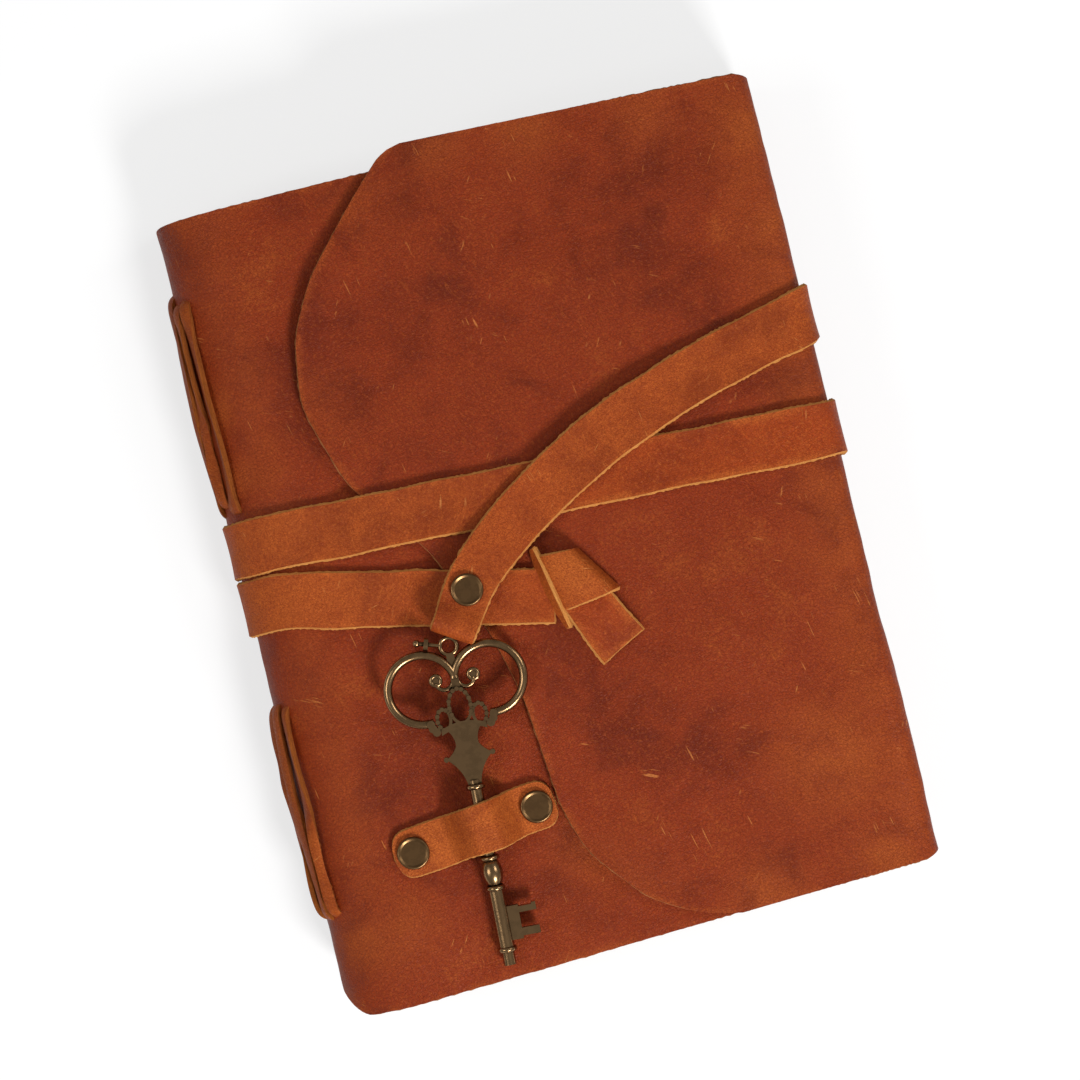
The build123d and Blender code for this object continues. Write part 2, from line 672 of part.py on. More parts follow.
def make_shield():
    """Waisted plate between the crown and the stem, with a knob on each side."""
    top = -(CROWN_BASE + CROWN_BAND / 2 - CROWN_ARCH)
    waist = (SHIELD_WAIST_HALF, -(CROWN_BASE + SHIELD_WAIST_DROP))
    point = (SHIELD_POINT_HALF, -(CROWN_BASE + SHIELD_POINT_DROP))
    corner, neck = (SHIELD_TOP_HALF, top), (STEM_RADIUS, -SHIELD_END)
    between = (SHIELD_WAIST_HALF + SHIELD_KNOB / 3, (top + waist[1]) / 2)
    rise = ((waist[0] + point[0]) / 2 - SHIELD_KNOB / 2, point[1] + SHIELD_KNOB * 2)
    fall = ((neck[0] + point[0]) / 2 - SHIELD_KNOB, (2 * point[1] + neck[1]) / 3 - SHIELD_KNOB)
    right = [
        ThreePointArc(corner, between, waist),
        ThreePointArc(waist, rise, point),
        ThreePointArc(point, fall, neck),
    ]
    left = [mirror(edge, about=Plane.YZ) for edge in right]
    ends = [Line((-corner[0], top), corner), Line((-neck[0], neck[1]), neck)]
    shield = extrude(make_face([*right, *left, *ends]), amount=BOW_THICKNESS / 2, both=True)
    for side in (-1, 1):
        shield += Pos(side * point[0], point[1]) * Cylinder(SHIELD_KNOB, BOW_THICKNESS)
    return shield


def make_bit():
    """Flag on the barrel with two teeth, the upper one hooked."""
    top, bottom = -BIT_START, -(BIT_START + BIT_LENGTH)
    flag = box_section(0, BIT_BODY, bottom, top)
    flag += box_section(0, BIT_REACH, top - BIT_TOOTH, top - BIT_TOOTH / 4)
    flag += box_section(BIT_REACH - BIT_HOOK, BIT_REACH, top - BIT_TOOTH, top)
    flag += box_section(0, BIT_REACH, bottom + BIT_TOOTH / 3, bottom + BIT_TOOTH * 4 / 3)
    return extrude(flag, amount=BIT_THICKNESS / 2, both=True)


def make_bar():
    """Cross bar in the strap's fold, its neck, and the pin with a disc and a ball beside the eyelet."""
    rod = Rot(0, 90, 0) * Cylinder(BAR_RADIUS, 2 * BAR_HALF)
    bar = Pos(BAR_SHIFT, BAR_RISE) * (Rot(0, 0, END_HEADING - KEY_HEADING) * rod)
    bar += between_points(BAR_SHIFT, BAR_RISE, EYELET_WIRE)
    bar += between_points(-PIN_OUT, PIN_RISE, PIN_RADIUS)
    bar += Pos(-PIN_OUT, PIN_RISE) * Sphere(PIN_BALL)
    lean = degrees(atan2(PIN_RISE, -PIN_OUT))
    disc = Rot(0, 90, 0) * Cylinder(PIN_DISC, 2 * PIN_RADIUS)
    share = PIN_DISC_OUT / PIN_OUT
    return bar + Pos(-PIN_DISC_OUT, PIN_RISE * share) * (Rot(0, 0, lean) * disc)


def between_points(x, y, radius):
    """Round rod in the plane of the bow, from the eyelet's rim to a point."""
    length = hypot(x, y) - EYELET_RADIUS
    rod = Rot(0, 90, 0) * Cylinder(radius, length, align=(Align.CENTER, Align.CENTER, Align.MIN))
    return Rot(0, 0, degrees(atan2(y, x))) * (Pos(EYELET_RADIUS) * rod)


def make_scroll():
    """Right half of the bow: the large scroll, and the curl that springs from its foot."""
    eye = (SCROLL_OUT, SCROLL_RISE - CROWN_BASE)
    scroll = ring_arc(eye, SCROLL_RADIUS, SCROLL_WIRE, SCROLL_START, SCROLL_SWEEP)
    curl = (CURL_OUT, CURL_RISE - CROWN_BASE)
    scroll += ring_arc(curl, CURL_RADIUS, CURL_WIRE, 0, 360)
    scroll += Pos(*curl) * Cylinder(CURL_BOSS, CURL_WIRE)
    link = (CURL_LINK_OUT, CURL_LINK_RISE - CROWN_BASE)
    return scroll + ring_arc(link, CURL_LINK_RADIUS, CURL_WIRE, CURL_LINK_START, CURL_LINK_SWEEP)


def make_key():
    key = make_stem() + make_crown() + make_shield() + make_bit() + make_bar()
    key += ring_arc((0, 0), EYELET_RADIUS, EYELET_WIRE, 0, 360)
    crown_top = MIDDLE_LOBE_RISE + MIDDLE_LOBE_TALL - CROWN_BASE
    neck = box_section(-NECK_HALF, NECK_HALF, crown_top, -EYELET_RADIUS)
    key += extrude(neck, amount=EYELET_WIRE, both=True)
    scroll = make_scroll()
    key += scroll
    key += mirror(scroll, about=Plane.YZ)
    return key_place() * key


# Assembly

def make_nodes():
    """Every piece of the diary by its name."""
    nodes = {
        "back_cover": make_back_cover(),
        "spine": make_spine(),
        "front_cover": make_front_cover(),
        "fore_edge": make_fore_edge(),
        "flap": make_flap(),
        "lacing_head": make_lacing(1),
        "lacing_tail": make_lacing(-1),
    }
    for index in range(SIGNATURE_COUNT):
        nodes[f"signature_{index + 1}"] = make_signature(index)

    low_back = run_angle(SPINE_X, STRAP_LEFT_LOW_Y, FORE_X, STRAP_RIGHT_LOW_Y)
    high_back = run_angle(SPINE_X, STRAP_LEFT_HIGH_Y, FORE_X, STRAP_RIGHT_HIGH_Y)
    first = run_angle(SPINE_X, STRAP_LEFT_LOW_Y, *STRAP_START)
    nodes["strap_start"] = make_front_run(STRAP_LEFT_LOW_Y, *STRAP_START)
    nodes["strap_spine_turn_1"] = make_spine_turn(STRAP_LEFT_LOW_Y, half_width_across(first))
    nodes["strap_back_1"] = make_back_run(STRAP_LEFT_LOW_Y, STRAP_RIGHT_LOW_Y)
    nodes["strap_fore_turn_1"] = make_fore_turn(STRAP_RIGHT_LOW_Y, half_width_across(low_back))
    nodes["strap_front"] = make_front_run(STRAP_LEFT_HIGH_Y, FORE_X, STRAP_RIGHT_LOW_Y)
    nodes["strap_spine_turn_2"] = make_spine_turn(STRAP_LEFT_HIGH_Y, half_width_across(low_back))
    nodes["strap_back_2"] = make_back_run(STRAP_LEFT_HIGH_Y, STRAP_RIGHT_HIGH_Y)
    nodes["strap_fore_turn_2"] = make_fore_turn(STRAP_RIGHT_HIGH_Y, half_width_across(TAIL_HEADING))
    nodes["strap_tail"] = make_tail_run()
    nodes["strap_end"] = make_strap_end()
    nodes["knot_tail"] = make_knot_tail()
    nodes["knot_loop"] = make_knot_loop()
    nodes["knot_fold"] = make_knot_fold()

    nodes["keeper"] = make_keeper()
    for name, (x, y) in (("left", KEEPER_LEFT), ("right", KEEPER_RIGHT)):
        nodes[f"keeper_rivet_{name}"] = Pos(x, y, 0) * make_rivet(FRONT_LOW, FRONT_TOP + KEEPER_THICKNESS)
        nodes[f"keeper_rivet_back_{name}"] = Pos(x, y, 0) * make_rivet_back(FRONT_LOW)
    rivet_spot = Pos(END_LENGTH - END_RIVET_BACK, 0, 0)
    nodes["strap_rivet"] = end_place() * (rivet_spot * make_rivet(TAIL_LOW, FOLD_TOP))
    nodes["strap_rivet_back"] = end_place() * (rivet_spot * make_rivet_back(TAIL_LOW))
    nodes["key"] = make_key()
    return nodes


def main():
    os.makedirs("parts", exist_ok=True)
    for name, shape in make_nodes().items():
        export_step(shape, f"parts/{name}.step")


main()
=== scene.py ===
"""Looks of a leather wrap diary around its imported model.

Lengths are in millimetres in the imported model's frame, until a mesh is made.
"""
import math

import bpy
import numpy as np
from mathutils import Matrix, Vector


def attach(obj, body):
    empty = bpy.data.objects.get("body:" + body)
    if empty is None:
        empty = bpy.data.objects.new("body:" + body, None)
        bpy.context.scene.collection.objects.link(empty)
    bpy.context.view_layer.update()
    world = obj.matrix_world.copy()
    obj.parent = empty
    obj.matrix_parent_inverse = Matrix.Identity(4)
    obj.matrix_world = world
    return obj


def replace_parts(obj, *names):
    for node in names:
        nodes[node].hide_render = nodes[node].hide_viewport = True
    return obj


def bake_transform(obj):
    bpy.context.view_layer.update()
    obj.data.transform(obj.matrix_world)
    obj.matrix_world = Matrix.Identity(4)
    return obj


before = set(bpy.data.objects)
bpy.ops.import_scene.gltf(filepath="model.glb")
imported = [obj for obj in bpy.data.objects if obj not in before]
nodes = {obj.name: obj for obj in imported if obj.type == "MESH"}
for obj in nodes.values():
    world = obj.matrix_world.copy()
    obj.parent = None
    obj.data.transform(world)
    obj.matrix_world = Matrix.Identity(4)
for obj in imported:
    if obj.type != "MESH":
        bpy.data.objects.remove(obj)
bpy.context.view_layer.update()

MM = 0.001

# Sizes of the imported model
SEAT = 0.3
LEATHER = 2.0
HALF_HEIGHT = 92.0
SPINE_X = -61.0
SPINE_RADIUS = 9.0
PAGE_LEFT = -62.7
PAGE_WIDTH = 127.0
PAGE_RIGHT = PAGE_LEFT + PAGE_WIDTH
PAGE_HALF = 89.0
GATHERINGS = 6
GATHERING_THICKNESS = 3.4
GATHERING_GAP = 0.2
GATHERING_PITCH = GATHERING_THICKNESS + GATHERING_GAP
FORE_GAP = 1.2
FORE_X = PAGE_RIGHT + FORE_GAP
FORE_RADIUS = 4.5
FRONT_EDGE_X = FORE_X - SEAT
STRAP_WIDTH = 13.0
STRAP_THICKNESS = 1.4
FORE_TURN_RADIUS = FORE_RADIUS + SEAT + STRAP_THICKNESS
LEFT_LOW_Y = 0.0
LEFT_HIGH_Y = 13.5
RIGHT_LOW_Y = 8.2
RIGHT_HIGH_Y = 33.2

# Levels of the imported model, from the table up
UNDER_MIDDLE = STRAP_THICKNESS / 2
BACK_LOW = STRAP_THICKNESS + SEAT
PAPER_LOW = BACK_LOW + LEATHER + SEAT
FRONT_TOP = PAPER_LOW + GATHERINGS * GATHERING_PITCH - GATHERING_GAP + SEAT + LEATHER
FLAP_TOP = FRONT_TOP + SEAT + LEATHER
RUN_MIDDLE = FLAP_TOP + SEAT + STRAP_THICKNESS / 2
TAIL_MIDDLE = RUN_MIDDLE + STRAP_THICKNESS + SEAT
FOLD_MIDDLE = 34.3
KEY_LEVEL = 34.5

# A distance that is past every edge
FAR = 99.0


# Number helpers

def unit(vectors):
    """Vectors made one long."""
    return vectors / np.maximum(np.linalg.norm(vectors, axis=-1, keepdims=True), 1e-12)


def mixed(start, end, share):
    """Value a share of the way from start to end."""
    return start + (end - start) * share


def ripple(points, size, seed, waves=14):
    """Smooth random waviness of about -1 to 1, with swells of about one size."""
    draw = np.random.default_rng(seed)
    total = np.zeros(points.shape[:-1])
    for _ in range(waves):
        way = draw.normal(size=points.shape[-1])
        way *= draw.uniform(0.5, 1.5) * math.tau / (size * np.linalg.norm(way))
        total += np.sin(points @ way + draw.uniform(0, math.tau))
    return total / math.sqrt(waves)


def smooth_step(value, low, high):
    """0 below low, 1 above high, with a soft change between."""
    t = np.clip((value - low) / (high - low), 0, 1)
    return t * t * (3 - 2 * t)


def crowded(count, power):
    """Places from -1 to 1 that crowd towards both ends."""
    t = np.linspace(-1, 1, count)
    return np.sign(t) * (1 - (1 - np.abs(t)) ** power)


def reach_of(points):
    """Length along the first index of a line or a grid of points."""
    steps = np.linalg.norm(np.diff(points, axis=0), axis=-1)
    return np.concatenate([np.zeros((1,) + steps.shape[1:]), np.cumsum(steps, axis=0)])


def resample(points, step):
    """Points a step apart along a line of points."""
    points = np.asarray(points, float)
    reach = reach_of(points)
    count = max(int(round(reach[-1] / step)), 2) + 1
    wanted = np.linspace(0, reach[-1], count)
    return np.stack([np.interp(wanted, reach, values) for values in points.T], axis=1)


def soften(points, rounds):
    """Line of points with its corners rubbed round; its ends stay."""
    points = points.copy()
    for _ in range(rounds):
        points[1:-1] = (points[:-2] + 2 * points[1:-1] + points[2:]) / 4
    return points


def smooth_path(points, step, reach):
    """Even line through points, softened over about a reach."""
    return soften(resample(points, step), int((reach / step) ** 2))


def distance_to_path(points, path, skip=4):
    """Distance in plan from points to a line of points, of which only some are looked at."""
    best = np.full(points.shape[:-1], np.inf)
    for x, y in path[::skip]:
        best = np.minimum(best, np.hypot(points[..., 0] - x, points[..., 1] - y))
    return best


def arc_points(center, radius, start, end, step=0.8):
    """Points on an arc in X and Z, by angles in degrees."""
    count = max(int(abs(math.radians(end - start)) * radius / step), 4) + 1
    angle = np.radians(np.linspace(start, end, count))
    return np.stack([center[0] + radius * np.cos(angle), center[1] + radius * np.sin(angle)], axis=1)


# Meshes

SHARP_ANGLE = 40
UNDERSIDE_SHIFT = (0, 0, 40)
WALL_SHIFT = (0, 0, 20)
EDGE_WANDER = 0.12
EDGE_SWELL = 16.0
OTHER_EDGE = 50
WAVE_GAP = 7.3
PATTERN_GAP = 31.0
STRIP_CROWDING = 1.4
STRIP_COLUMNS = 13


def keep_values(mesh, name, values):
    """Stores a value or a vector for each point of a mesh, for its material."""
    kind, field = ("FLOAT", "value") if values.ndim == 1 else ("FLOAT_VECTOR", "vector")
    layer = mesh.attributes.new(name, kind, "POINT")
    layer.data.foreach_set(field, values.astype(np.float32).ravel())


def make_object(name, parts, materials, pull=0.0):
    """Mesh object from a slab and its materials for face, flesh and edge. It keeps the flat pattern, the
    distance to a cut edge and how far the leather is pulled lighter, a value that also carries painted sheen
    on the hide's rolls and painted shade on the strap under the knot's fold."""
    points, quads, faces, flat, edge = parts
    mesh = bpy.data.meshes.new(name)
    mesh.vertices.add(len(points))
    mesh.vertices.foreach_set("co", (points * MM).astype(np.float32).ravel())
    mesh.loops.add(quads.size)
    mesh.loops.foreach_set("vertex_index", quads.astype(np.int32).ravel())
    mesh.polygons.add(len(quads))
    mesh.polygons.foreach_set("loop_start", np.arange(0, quads.size, 4, dtype=np.int32))
    mesh.polygons.foreach_set("material_index", faces.astype(np.int32))
    mesh.polygons.foreach_set("use_smooth", np.ones(len(quads), bool))
    mesh.update(calc_edges=True)
    mesh.validate()
    keep_values(mesh, "flat", flat)
    keep_values(mesh, "edge", edge)
    keep_values(mesh, "pull", np.full(len(points), pull))
    for material in materials:
        mesh.materials.append(material)
    mesh.set_sharp_from_angle(angle=math.radians(SHARP_ANGLE))
    thing = bpy.data.objects.new(name, mesh)
    bpy.context.scene.collection.objects.link(thing)
    return thing


def join_parts(slabs):
    """Several slabs as one."""
    points, quads, *rest = zip(*slabs)
    starts = np.cumsum([0] + [len(places) for places in points[:-1]])
    moved = [corners + start for corners, start in zip(quads, starts)]
    return [np.concatenate(values) for values in (points, moved, *rest)]


def slab(middle, normal, flat, thickness, edge, seed, fray, lip=0.1, ends=(1, 1)):
    """Sheet round a grid of middle points: points, quads, each face's material, the flat pattern and the
    distance to a cut edge. Its cut edges stand out by a lip and fray; an end that is 0 in ends is flush."""
    rows, columns = middle.shape[:2]
    half = np.broadcast_to(np.asarray(thickness, float) / 2, (rows, columns))[..., None]
    top = middle + normal * half
    low = middle - normal * half
    index = np.arange(rows * columns).reshape(rows, columns)
    ring = np.concatenate([index[0, :-1], index[:-1, -1], index[-1, :0:-1], index[:0:-1, 0]])
    inner_row = np.clip(np.arange(rows), 1, rows - 2)
    inner_column = np.clip(np.arange(columns), 1, columns - 2)
    nearest = middle[np.ix_(inner_row, inner_column)].reshape(-1, 3)
    rim = middle.reshape(-1, 3)[ring]
    out = unit(rim - nearest[ring])
    wild = np.random.default_rng(seed).normal(size=(len(ring), 1))
    cut = np.ones((rows, columns))
    cut[0], cut[-1] = ends
    wall = rim + out * (lip + fray * np.clip(wild, -1, 2)) * cut.reshape(-1, 1)[ring]

    count = rows * columns
    points = np.concatenate([top.reshape(-1, 3), low.reshape(-1, 3), wall])
    a = index[:-1, :-1].ravel()
    b = index[1:, :-1].ravel()
    c = index[1:, 1:].ravel()
    d = index[:-1, 1:].ravel()
    upper = np.stack([a, b, c, d], axis=1)
    lower = np.stack([a, d, c, b], axis=1) + count
    ring_next = np.roll(ring, -1)
    mid = np.arange(len(ring)) + 2 * count
    mid_next = np.roll(mid, -1)
    over = np.stack([ring, ring_next, mid_next, mid], axis=1)
    under = np.stack([mid, mid_next, ring_next + count, ring + count], axis=1)
    quads = np.concatenate([upper, lower, over, under])
    facing = np.cross(middle[1, 0] - middle[0, 0], middle[0, 1] - middle[0, 0]) @ normal[0, 0]
    if facing <= 0:
        quads = quads[:, ::-1]
    faces = np.repeat([0, 1, 2, 2], [len(upper), len(lower), len(over), len(under)])
    flats = flat.reshape(-1, 3)
    flats = np.concatenate([flats, flats + UNDERSIDE_SHIFT, flats[ring] + WALL_SHIFT])
    edges = np.concatenate([edge.ravel(), edge.ravel(), edge.ravel()[ring]])
    return points, quads, faces, flats, edges


def strip_grid(path, up, width, cup, across, seed, lip, start, ends):
    """Middle surface of a strap along a line, its outward sides, flat pattern and distance to a cut edge."""
    along = unit(np.gradient(path, axis=0))
    up = unit(up - along * np.sum(up * along, axis=1, keepdims=True))
    side = np.cross(up, along)
    reach = reach_of(path)
    half = np.broadcast_to(np.asarray(width, float), reach.shape) / 2
    t = crowded(across, STRIP_CROWDING)[None, :]
    edge_line = np.stack([reach, np.full_like(reach, seed * WAVE_GAP)], axis=1)
    left = half - lip + EDGE_WANDER * ripple(edge_line, EDGE_SWELL, seed)
    right = half - lip + EDGE_WANDER * ripple(edge_line, EDGE_SWELL, seed + OTHER_EDGE)
    place = np.where(t < 0, left[:, None], right[:, None]) * t
    lift = np.broadcast_to(np.asarray(cup, float), reach.shape)[:, None] * t ** 2
    middle = path[:, None] + side[:, None] * place[..., None] + up[:, None] * lift[..., None]
    tilt = -2 * lift / np.maximum(half[:, None], 0.1) * t
    normal = unit(up[:, None] + side[:, None] * tilt[..., None])
    rows = np.broadcast_to(reach[:, None] + start, place.shape)
    flat = np.stack([rows, place, np.full(place.shape, seed * PATTERN_GAP)], -1)
    to_end = np.minimum(reach + FAR * (1 - ends[0]), reach[-1] - reach + FAR * (1 - ends[1]))
    edge = np.minimum(half[:, None] - lip - np.abs(place), to_end[:, None])
    return middle, normal, flat, np.maximum(edge, 0)


def strip(path, up, width, thickness, *, cup, seed, fray, lip, start, across=STRIP_COLUMNS, ends=(1, 1)):
    """Strap along a line: up is the side that shows, cup lifts its edges, start is where its flat pattern
    begins, and ends says which ends are cut."""
    middle, normal, flat, edge = strip_grid(path, up, width, cup, across, seed, lip, start, ends)
    return slab(middle, normal, flat, thickness, edge, seed, fray, lip, ends)


# Materials

class Graph:
    """Node material that is written as nested calls."""

    def __init__(self, name):
        self.material = bpy.data.materials.new(name)
        self.material.use_nodes = True
        self.tree = self.material.node_tree
        self.tree.nodes.clear()

    def add(self, kind, inputs=(), output=0, **settings):
        """New node; returns the output that was asked for. Inputs are values or other outputs."""
        node = self.tree.nodes.new("ShaderNode" + kind)
        for key, value in settings.items():
            setattr(node, key, value)
        for key, value in dict(inputs).items():
            if isinstance(value, bpy.types.NodeSocket):
                self.tree.links.new(value, node.inputs[key])
            else:
                node.inputs[key].default_value = value
        return node.outputs[output] if len(node.outputs) else None

    def math(self, operation, a, b, clamp=False):
        """Two values worked into one."""
        return self.add("Math", {0: a, 1: b}, operation=operation, use_clamp=clamp)

    def plus(self, a, b, clamp=False):
        """Sum of two values."""
        return self.math("ADD", a, b, clamp)

    def times(self, a, b):
        """Product of two values."""
        return self.math("MULTIPLY", a, b)

    def larger(self, a, b):
        """Larger of two values."""
        return self.math("MAXIMUM", a, b)

    def flat(self):
        """Place on the flat pattern of a piece."""
        return self.add("Attribute", output="Vector", attribute_name="flat")

    def value(self, name):
        """Value that a piece keeps for each of its points."""
        return self.add("Attribute", output="Fac", attribute_name=name)

    def noise(self, vector, size, detail=3.0, rough=0.55, twist=0.0):
        """Clouds of about a size."""
        inputs = {"Vector": vector, "Scale": 1 / size, "Detail": detail, "Roughness": rough}
        return self.add("TexNoise", {**inputs, "Distortion": twist})

    def between(self, value, low, high, out_low=0.0, out_high=1.0):
        """Soft change between two values while the input goes from low to high."""
        inputs = {0: value, 1: low, 2: high, 3: out_low, 4: out_high}
        return self.add("MapRange", inputs, interpolation_type="SMOOTHSTEP")

    def stretch(self, vector, size, angle):
        """Places for a texture with a length, a width and a direction."""
        turn = (0, 0, math.radians(angle))
        inputs = {"Vector": vector, "Rotation": turn, "Scale": (size[0], size[1], size[0])}
        return self.add("Mapping", inputs, vector_type="TEXTURE")

    def mix(self, share, a, b):
        """Colour a share of the way from a to b."""
        return self.add("Mix", {0: share, 6: a, 7: b}, 2, data_type="RGBA")

    def bump(self, height, depth, normal=None):
        """Relief of a depth, on top of another relief if one is given."""
        inputs = {"Height": height, "Strength": 1.0, "Distance": depth * MM}
        if normal is not None:
            inputs["Normal"] = normal
        return self.add("Bump", inputs)

    def finish(self, **inputs):
        """Closes the material with its shader."""
        names = {key.replace("_", " "): value for key, value in inputs.items()}
        shader = self.add("BsdfPrincipled", names)
        self.add("OutputMaterial", {"Surface": shader})
        return self.material


def rgb(red, green, blue):
    """Linear colour from the 0 to 255 values of a picture."""
    def linear(value):
        value /= 255
        return value / 12.92 if value <= 0.04045 else ((value + 0.055) / 1.055) ** 2.4
    return linear(red), linear(green), linear(blue), 1.0


# Angle, length, width and seed of each set of scratches
SCRATCHES = ((24, 5.0, 0.4, 3), (-61, 3.6, 0.5, 9), (78, 6.0, 0.4, 14))
SCRATCHED_PATCH = 9.0

CLOUD_SIZE = 42.0
PATCH_SIZE = 9.0
SPECK_SIZE = 0.9
WORN_RIM = 2.2
PIT_SIZE = 0.5
GLINT_SIZE = 0.8
HAIR_SIZE = 0.4
WRINKLE_SIZE = (4.5, 0.9)
WRINKLE_ANGLE = 64
WRINKLED_PATCH = 20.0
LEATHER_SPECULAR = 0.15


def scratches(g, flat):
    """Short thin marks in several directions, in some places only."""
    marks = 0.0
    for angle, long, wide, seed in SCRATCHES:
        moved = g.add("VectorMath", {0: flat, 1: (seed * 17, seed * 5, seed)}, operation="ADD")
        line = g.noise(g.stretch(moved, (long, wide), angle), 1.0, 1.0, 0.4)
        some = g.between(g.noise(moved, SCRATCHED_PATCH, 2), 0.62, 0.7)
        marks = g.larger(marks, g.times(g.between(line, 0.66, 0.74), some))
    return marks


def creases(g, flat, grain):
    """Fine net of creases in the grain: 0 in a crease, 1 beside it."""
    wander = g.add("TexNoise", {"Vector": flat, "Scale": 0.9}, "Color")
    warp = g.add("VectorMath", {0: flat, 1: wander}, operation="ADD")
    net = g.add("TexVoronoi", {"Vector": warp, "Scale": 1.5 / grain}, feature="DISTANCE_TO_EDGE")
    return g.between(net, 0.0, 0.2)


def leather(name, deep, body, pull, scar, wear=1.0, gloss=0.46, grain=1.0, mottle=0.55):
    """Oiled hide: cloudy colour, pull-up marks that are lighter where it bends, painted sheen and painted
    shade that the pull value carries, scratches and grain.
    """
    g = Graph(name)
    flat = g.flat()
    cloud = g.noise(flat, CLOUD_SIZE, 3, 0.5, 0.4)
    patch = g.noise(flat, PATCH_SIZE, 5, 0.6, 0.5)
    tone = g.plus(g.times(cloud, 0.55), g.times(patch, 0.45))
    colour = g.mix(g.between(tone, 0.34, 0.55, 0.1, 1.0), deep, body)

    fleck = g.plus(g.times(tone, 0.7), g.times(g.noise(flat, SPECK_SIZE, 4, 0.7), 0.3))
    spots = g.times(g.between(fleck, 0.53, 0.66), 0.6)
    # The pull value is pull-up wear, and also painted sheen on the hide's rolls and painted shade on the
    # strap under the knot's fold
    bent_and_sheen = g.times(g.value("pull"), g.between(patch, 0.3, 0.65, 0.45, 1.0))
    rim = g.times(g.between(g.value("edge"), 0.0, WORN_RIM, wear, 0.0), g.between(patch, 0.35, 0.6))
    light = g.larger(g.larger(bent_and_sheen, g.times(rim, 0.5)), spots)
    colour = g.mix(light, colour, pull)

    crease = creases(g, flat, grain)
    colour = g.mix(g.times(g.math("SUBTRACT", 1.0, crease), 0.3), colour, deep)
    pits = g.noise(flat, PIT_SIZE * grain, 4, 0.75)
    colour = g.mix(g.between(pits, 0.42, 0.64, 0.0, mottle), colour, deep)
    glints = g.noise(flat, GLINT_SIZE * grain, 4, 0.75)
    colour = g.mix(g.between(glints, 0.5, 0.7, 0.0, 0.36), colour, pull)
    wrinkle = g.noise(g.stretch(flat, WRINKLE_SIZE, WRINKLE_ANGLE), 1.0, 5, 0.65, 1.6)
    wrinkled = g.between(g.noise(flat, WRINKLED_PATCH, 2), 0.42, 0.62)
    colour = g.mix(g.times(g.between(wrinkle, 0.56, 0.66), g.times(wrinkled, 0.2)), colour, pull)
    marks = scratches(g, flat)
    colour = g.mix(g.times(marks, 0.6), colour, scar)

    hair = g.noise(flat, HAIR_SIZE * grain, 3, 0.7)
    relief = g.plus(g.times(crease, 0.55), g.times(hair, 0.45))
    relief = g.math("SUBTRACT", relief, g.times(marks, 0.4))
    normal = g.bump(relief, 0.12)
    normal = g.bump(g.times(wrinkle, g.between(wrinkled, 0.0, 1.0, 0.25, 1.0)), 0.22, normal)
    shine = g.plus(g.between(patch, 0.3, 0.7, gloss - 0.04, gloss + 0.1), g.times(light, 0.1))
    return g.finish(Base_Color=colour, Roughness=shine, Normal=normal, Specular_IOR_Level=LEATHER_SPECULAR)


def suede(name, dark, light, size=0.55):
    """Flesh side or cut edge of leather: matted fibres."""
    g = Graph(name)
    flat = g.flat()
    fibres = g.noise(g.stretch(flat, (size * 2.2, size), 15), 1.0, 5, 0.75, 0.8)
    tone = g.plus(g.times(fibres, 0.7), g.times(g.noise(flat, 5, 3), 0.3))
    colour = g.mix(g.between(tone, 0.34, 0.66), dark, light)
    relief = g.bump(fibres, 0.25)
    return g.finish(Base_Color=colour, Roughness=0.93, Normal=relief, Specular_IOR_Level=LEATHER_SPECULAR)


def old_brass(name, dark, bright, rough=0.34):
    """Antiqued metal: bright where it is rubbed, dark in its recesses."""
    g = Graph(name)
    place = g.add("TexCoord", output="Object")
    place = g.add("VectorMath", {0: place, "Scale": 1 / MM}, operation="SCALE")
    cloud = g.noise(place, 2.2, 4, 0.6)
    fine = g.noise(place, 0.35, 4, 0.7)
    open_sky = g.add("AmbientOcclusion", {"Distance": 1.6 * MM}, "AO", samples=8)
    worn = g.plus(g.between(open_sky, 0.35, 0.95), g.between(cloud, 0.3, 0.75, -0.35, 0.3))
    worn = g.plus(worn, g.between(fine, 0.3, 0.7, -0.06, 0.06), clamp=True)
    shine = g.between(worn, 0.0, 1.0, rough + 0.22, rough)
    return g.finish(
        Base_Color=g.mix(worn, dark, bright), Metallic=1.0, Roughness=shine, Normal=g.bump(cloud, 0.04),
    )


def paper_stock(name, body, shade):
    """Handmade paper with fibres and a cloudy tint."""
    g = Graph(name)
    flat = g.flat()
    cloud = g.noise(flat, 16, 4, 0.6)
    fibre = g.noise(g.stretch(flat, (5, 0.5), 40), 1.0, 4, 0.7, 1.2)
    rim = g.between(g.value("edge"), 0.0, 4.0, 0.5, 0.0)
    tone = g.plus(g.times(g.between(cloud, 0.35, 0.7), 0.35), rim)
    tone = g.plus(tone, g.between(fibre, 0.56, 0.7, 0.0, 0.25), clamp=True)
    relief = g.bump(g.plus(cloud, fibre), 0.12)
    return g.finish(
        Base_Color=g.mix(tone, body, shade), Roughness=0.92, Normal=relief, Specular_IOR_Level=0.2,
    )


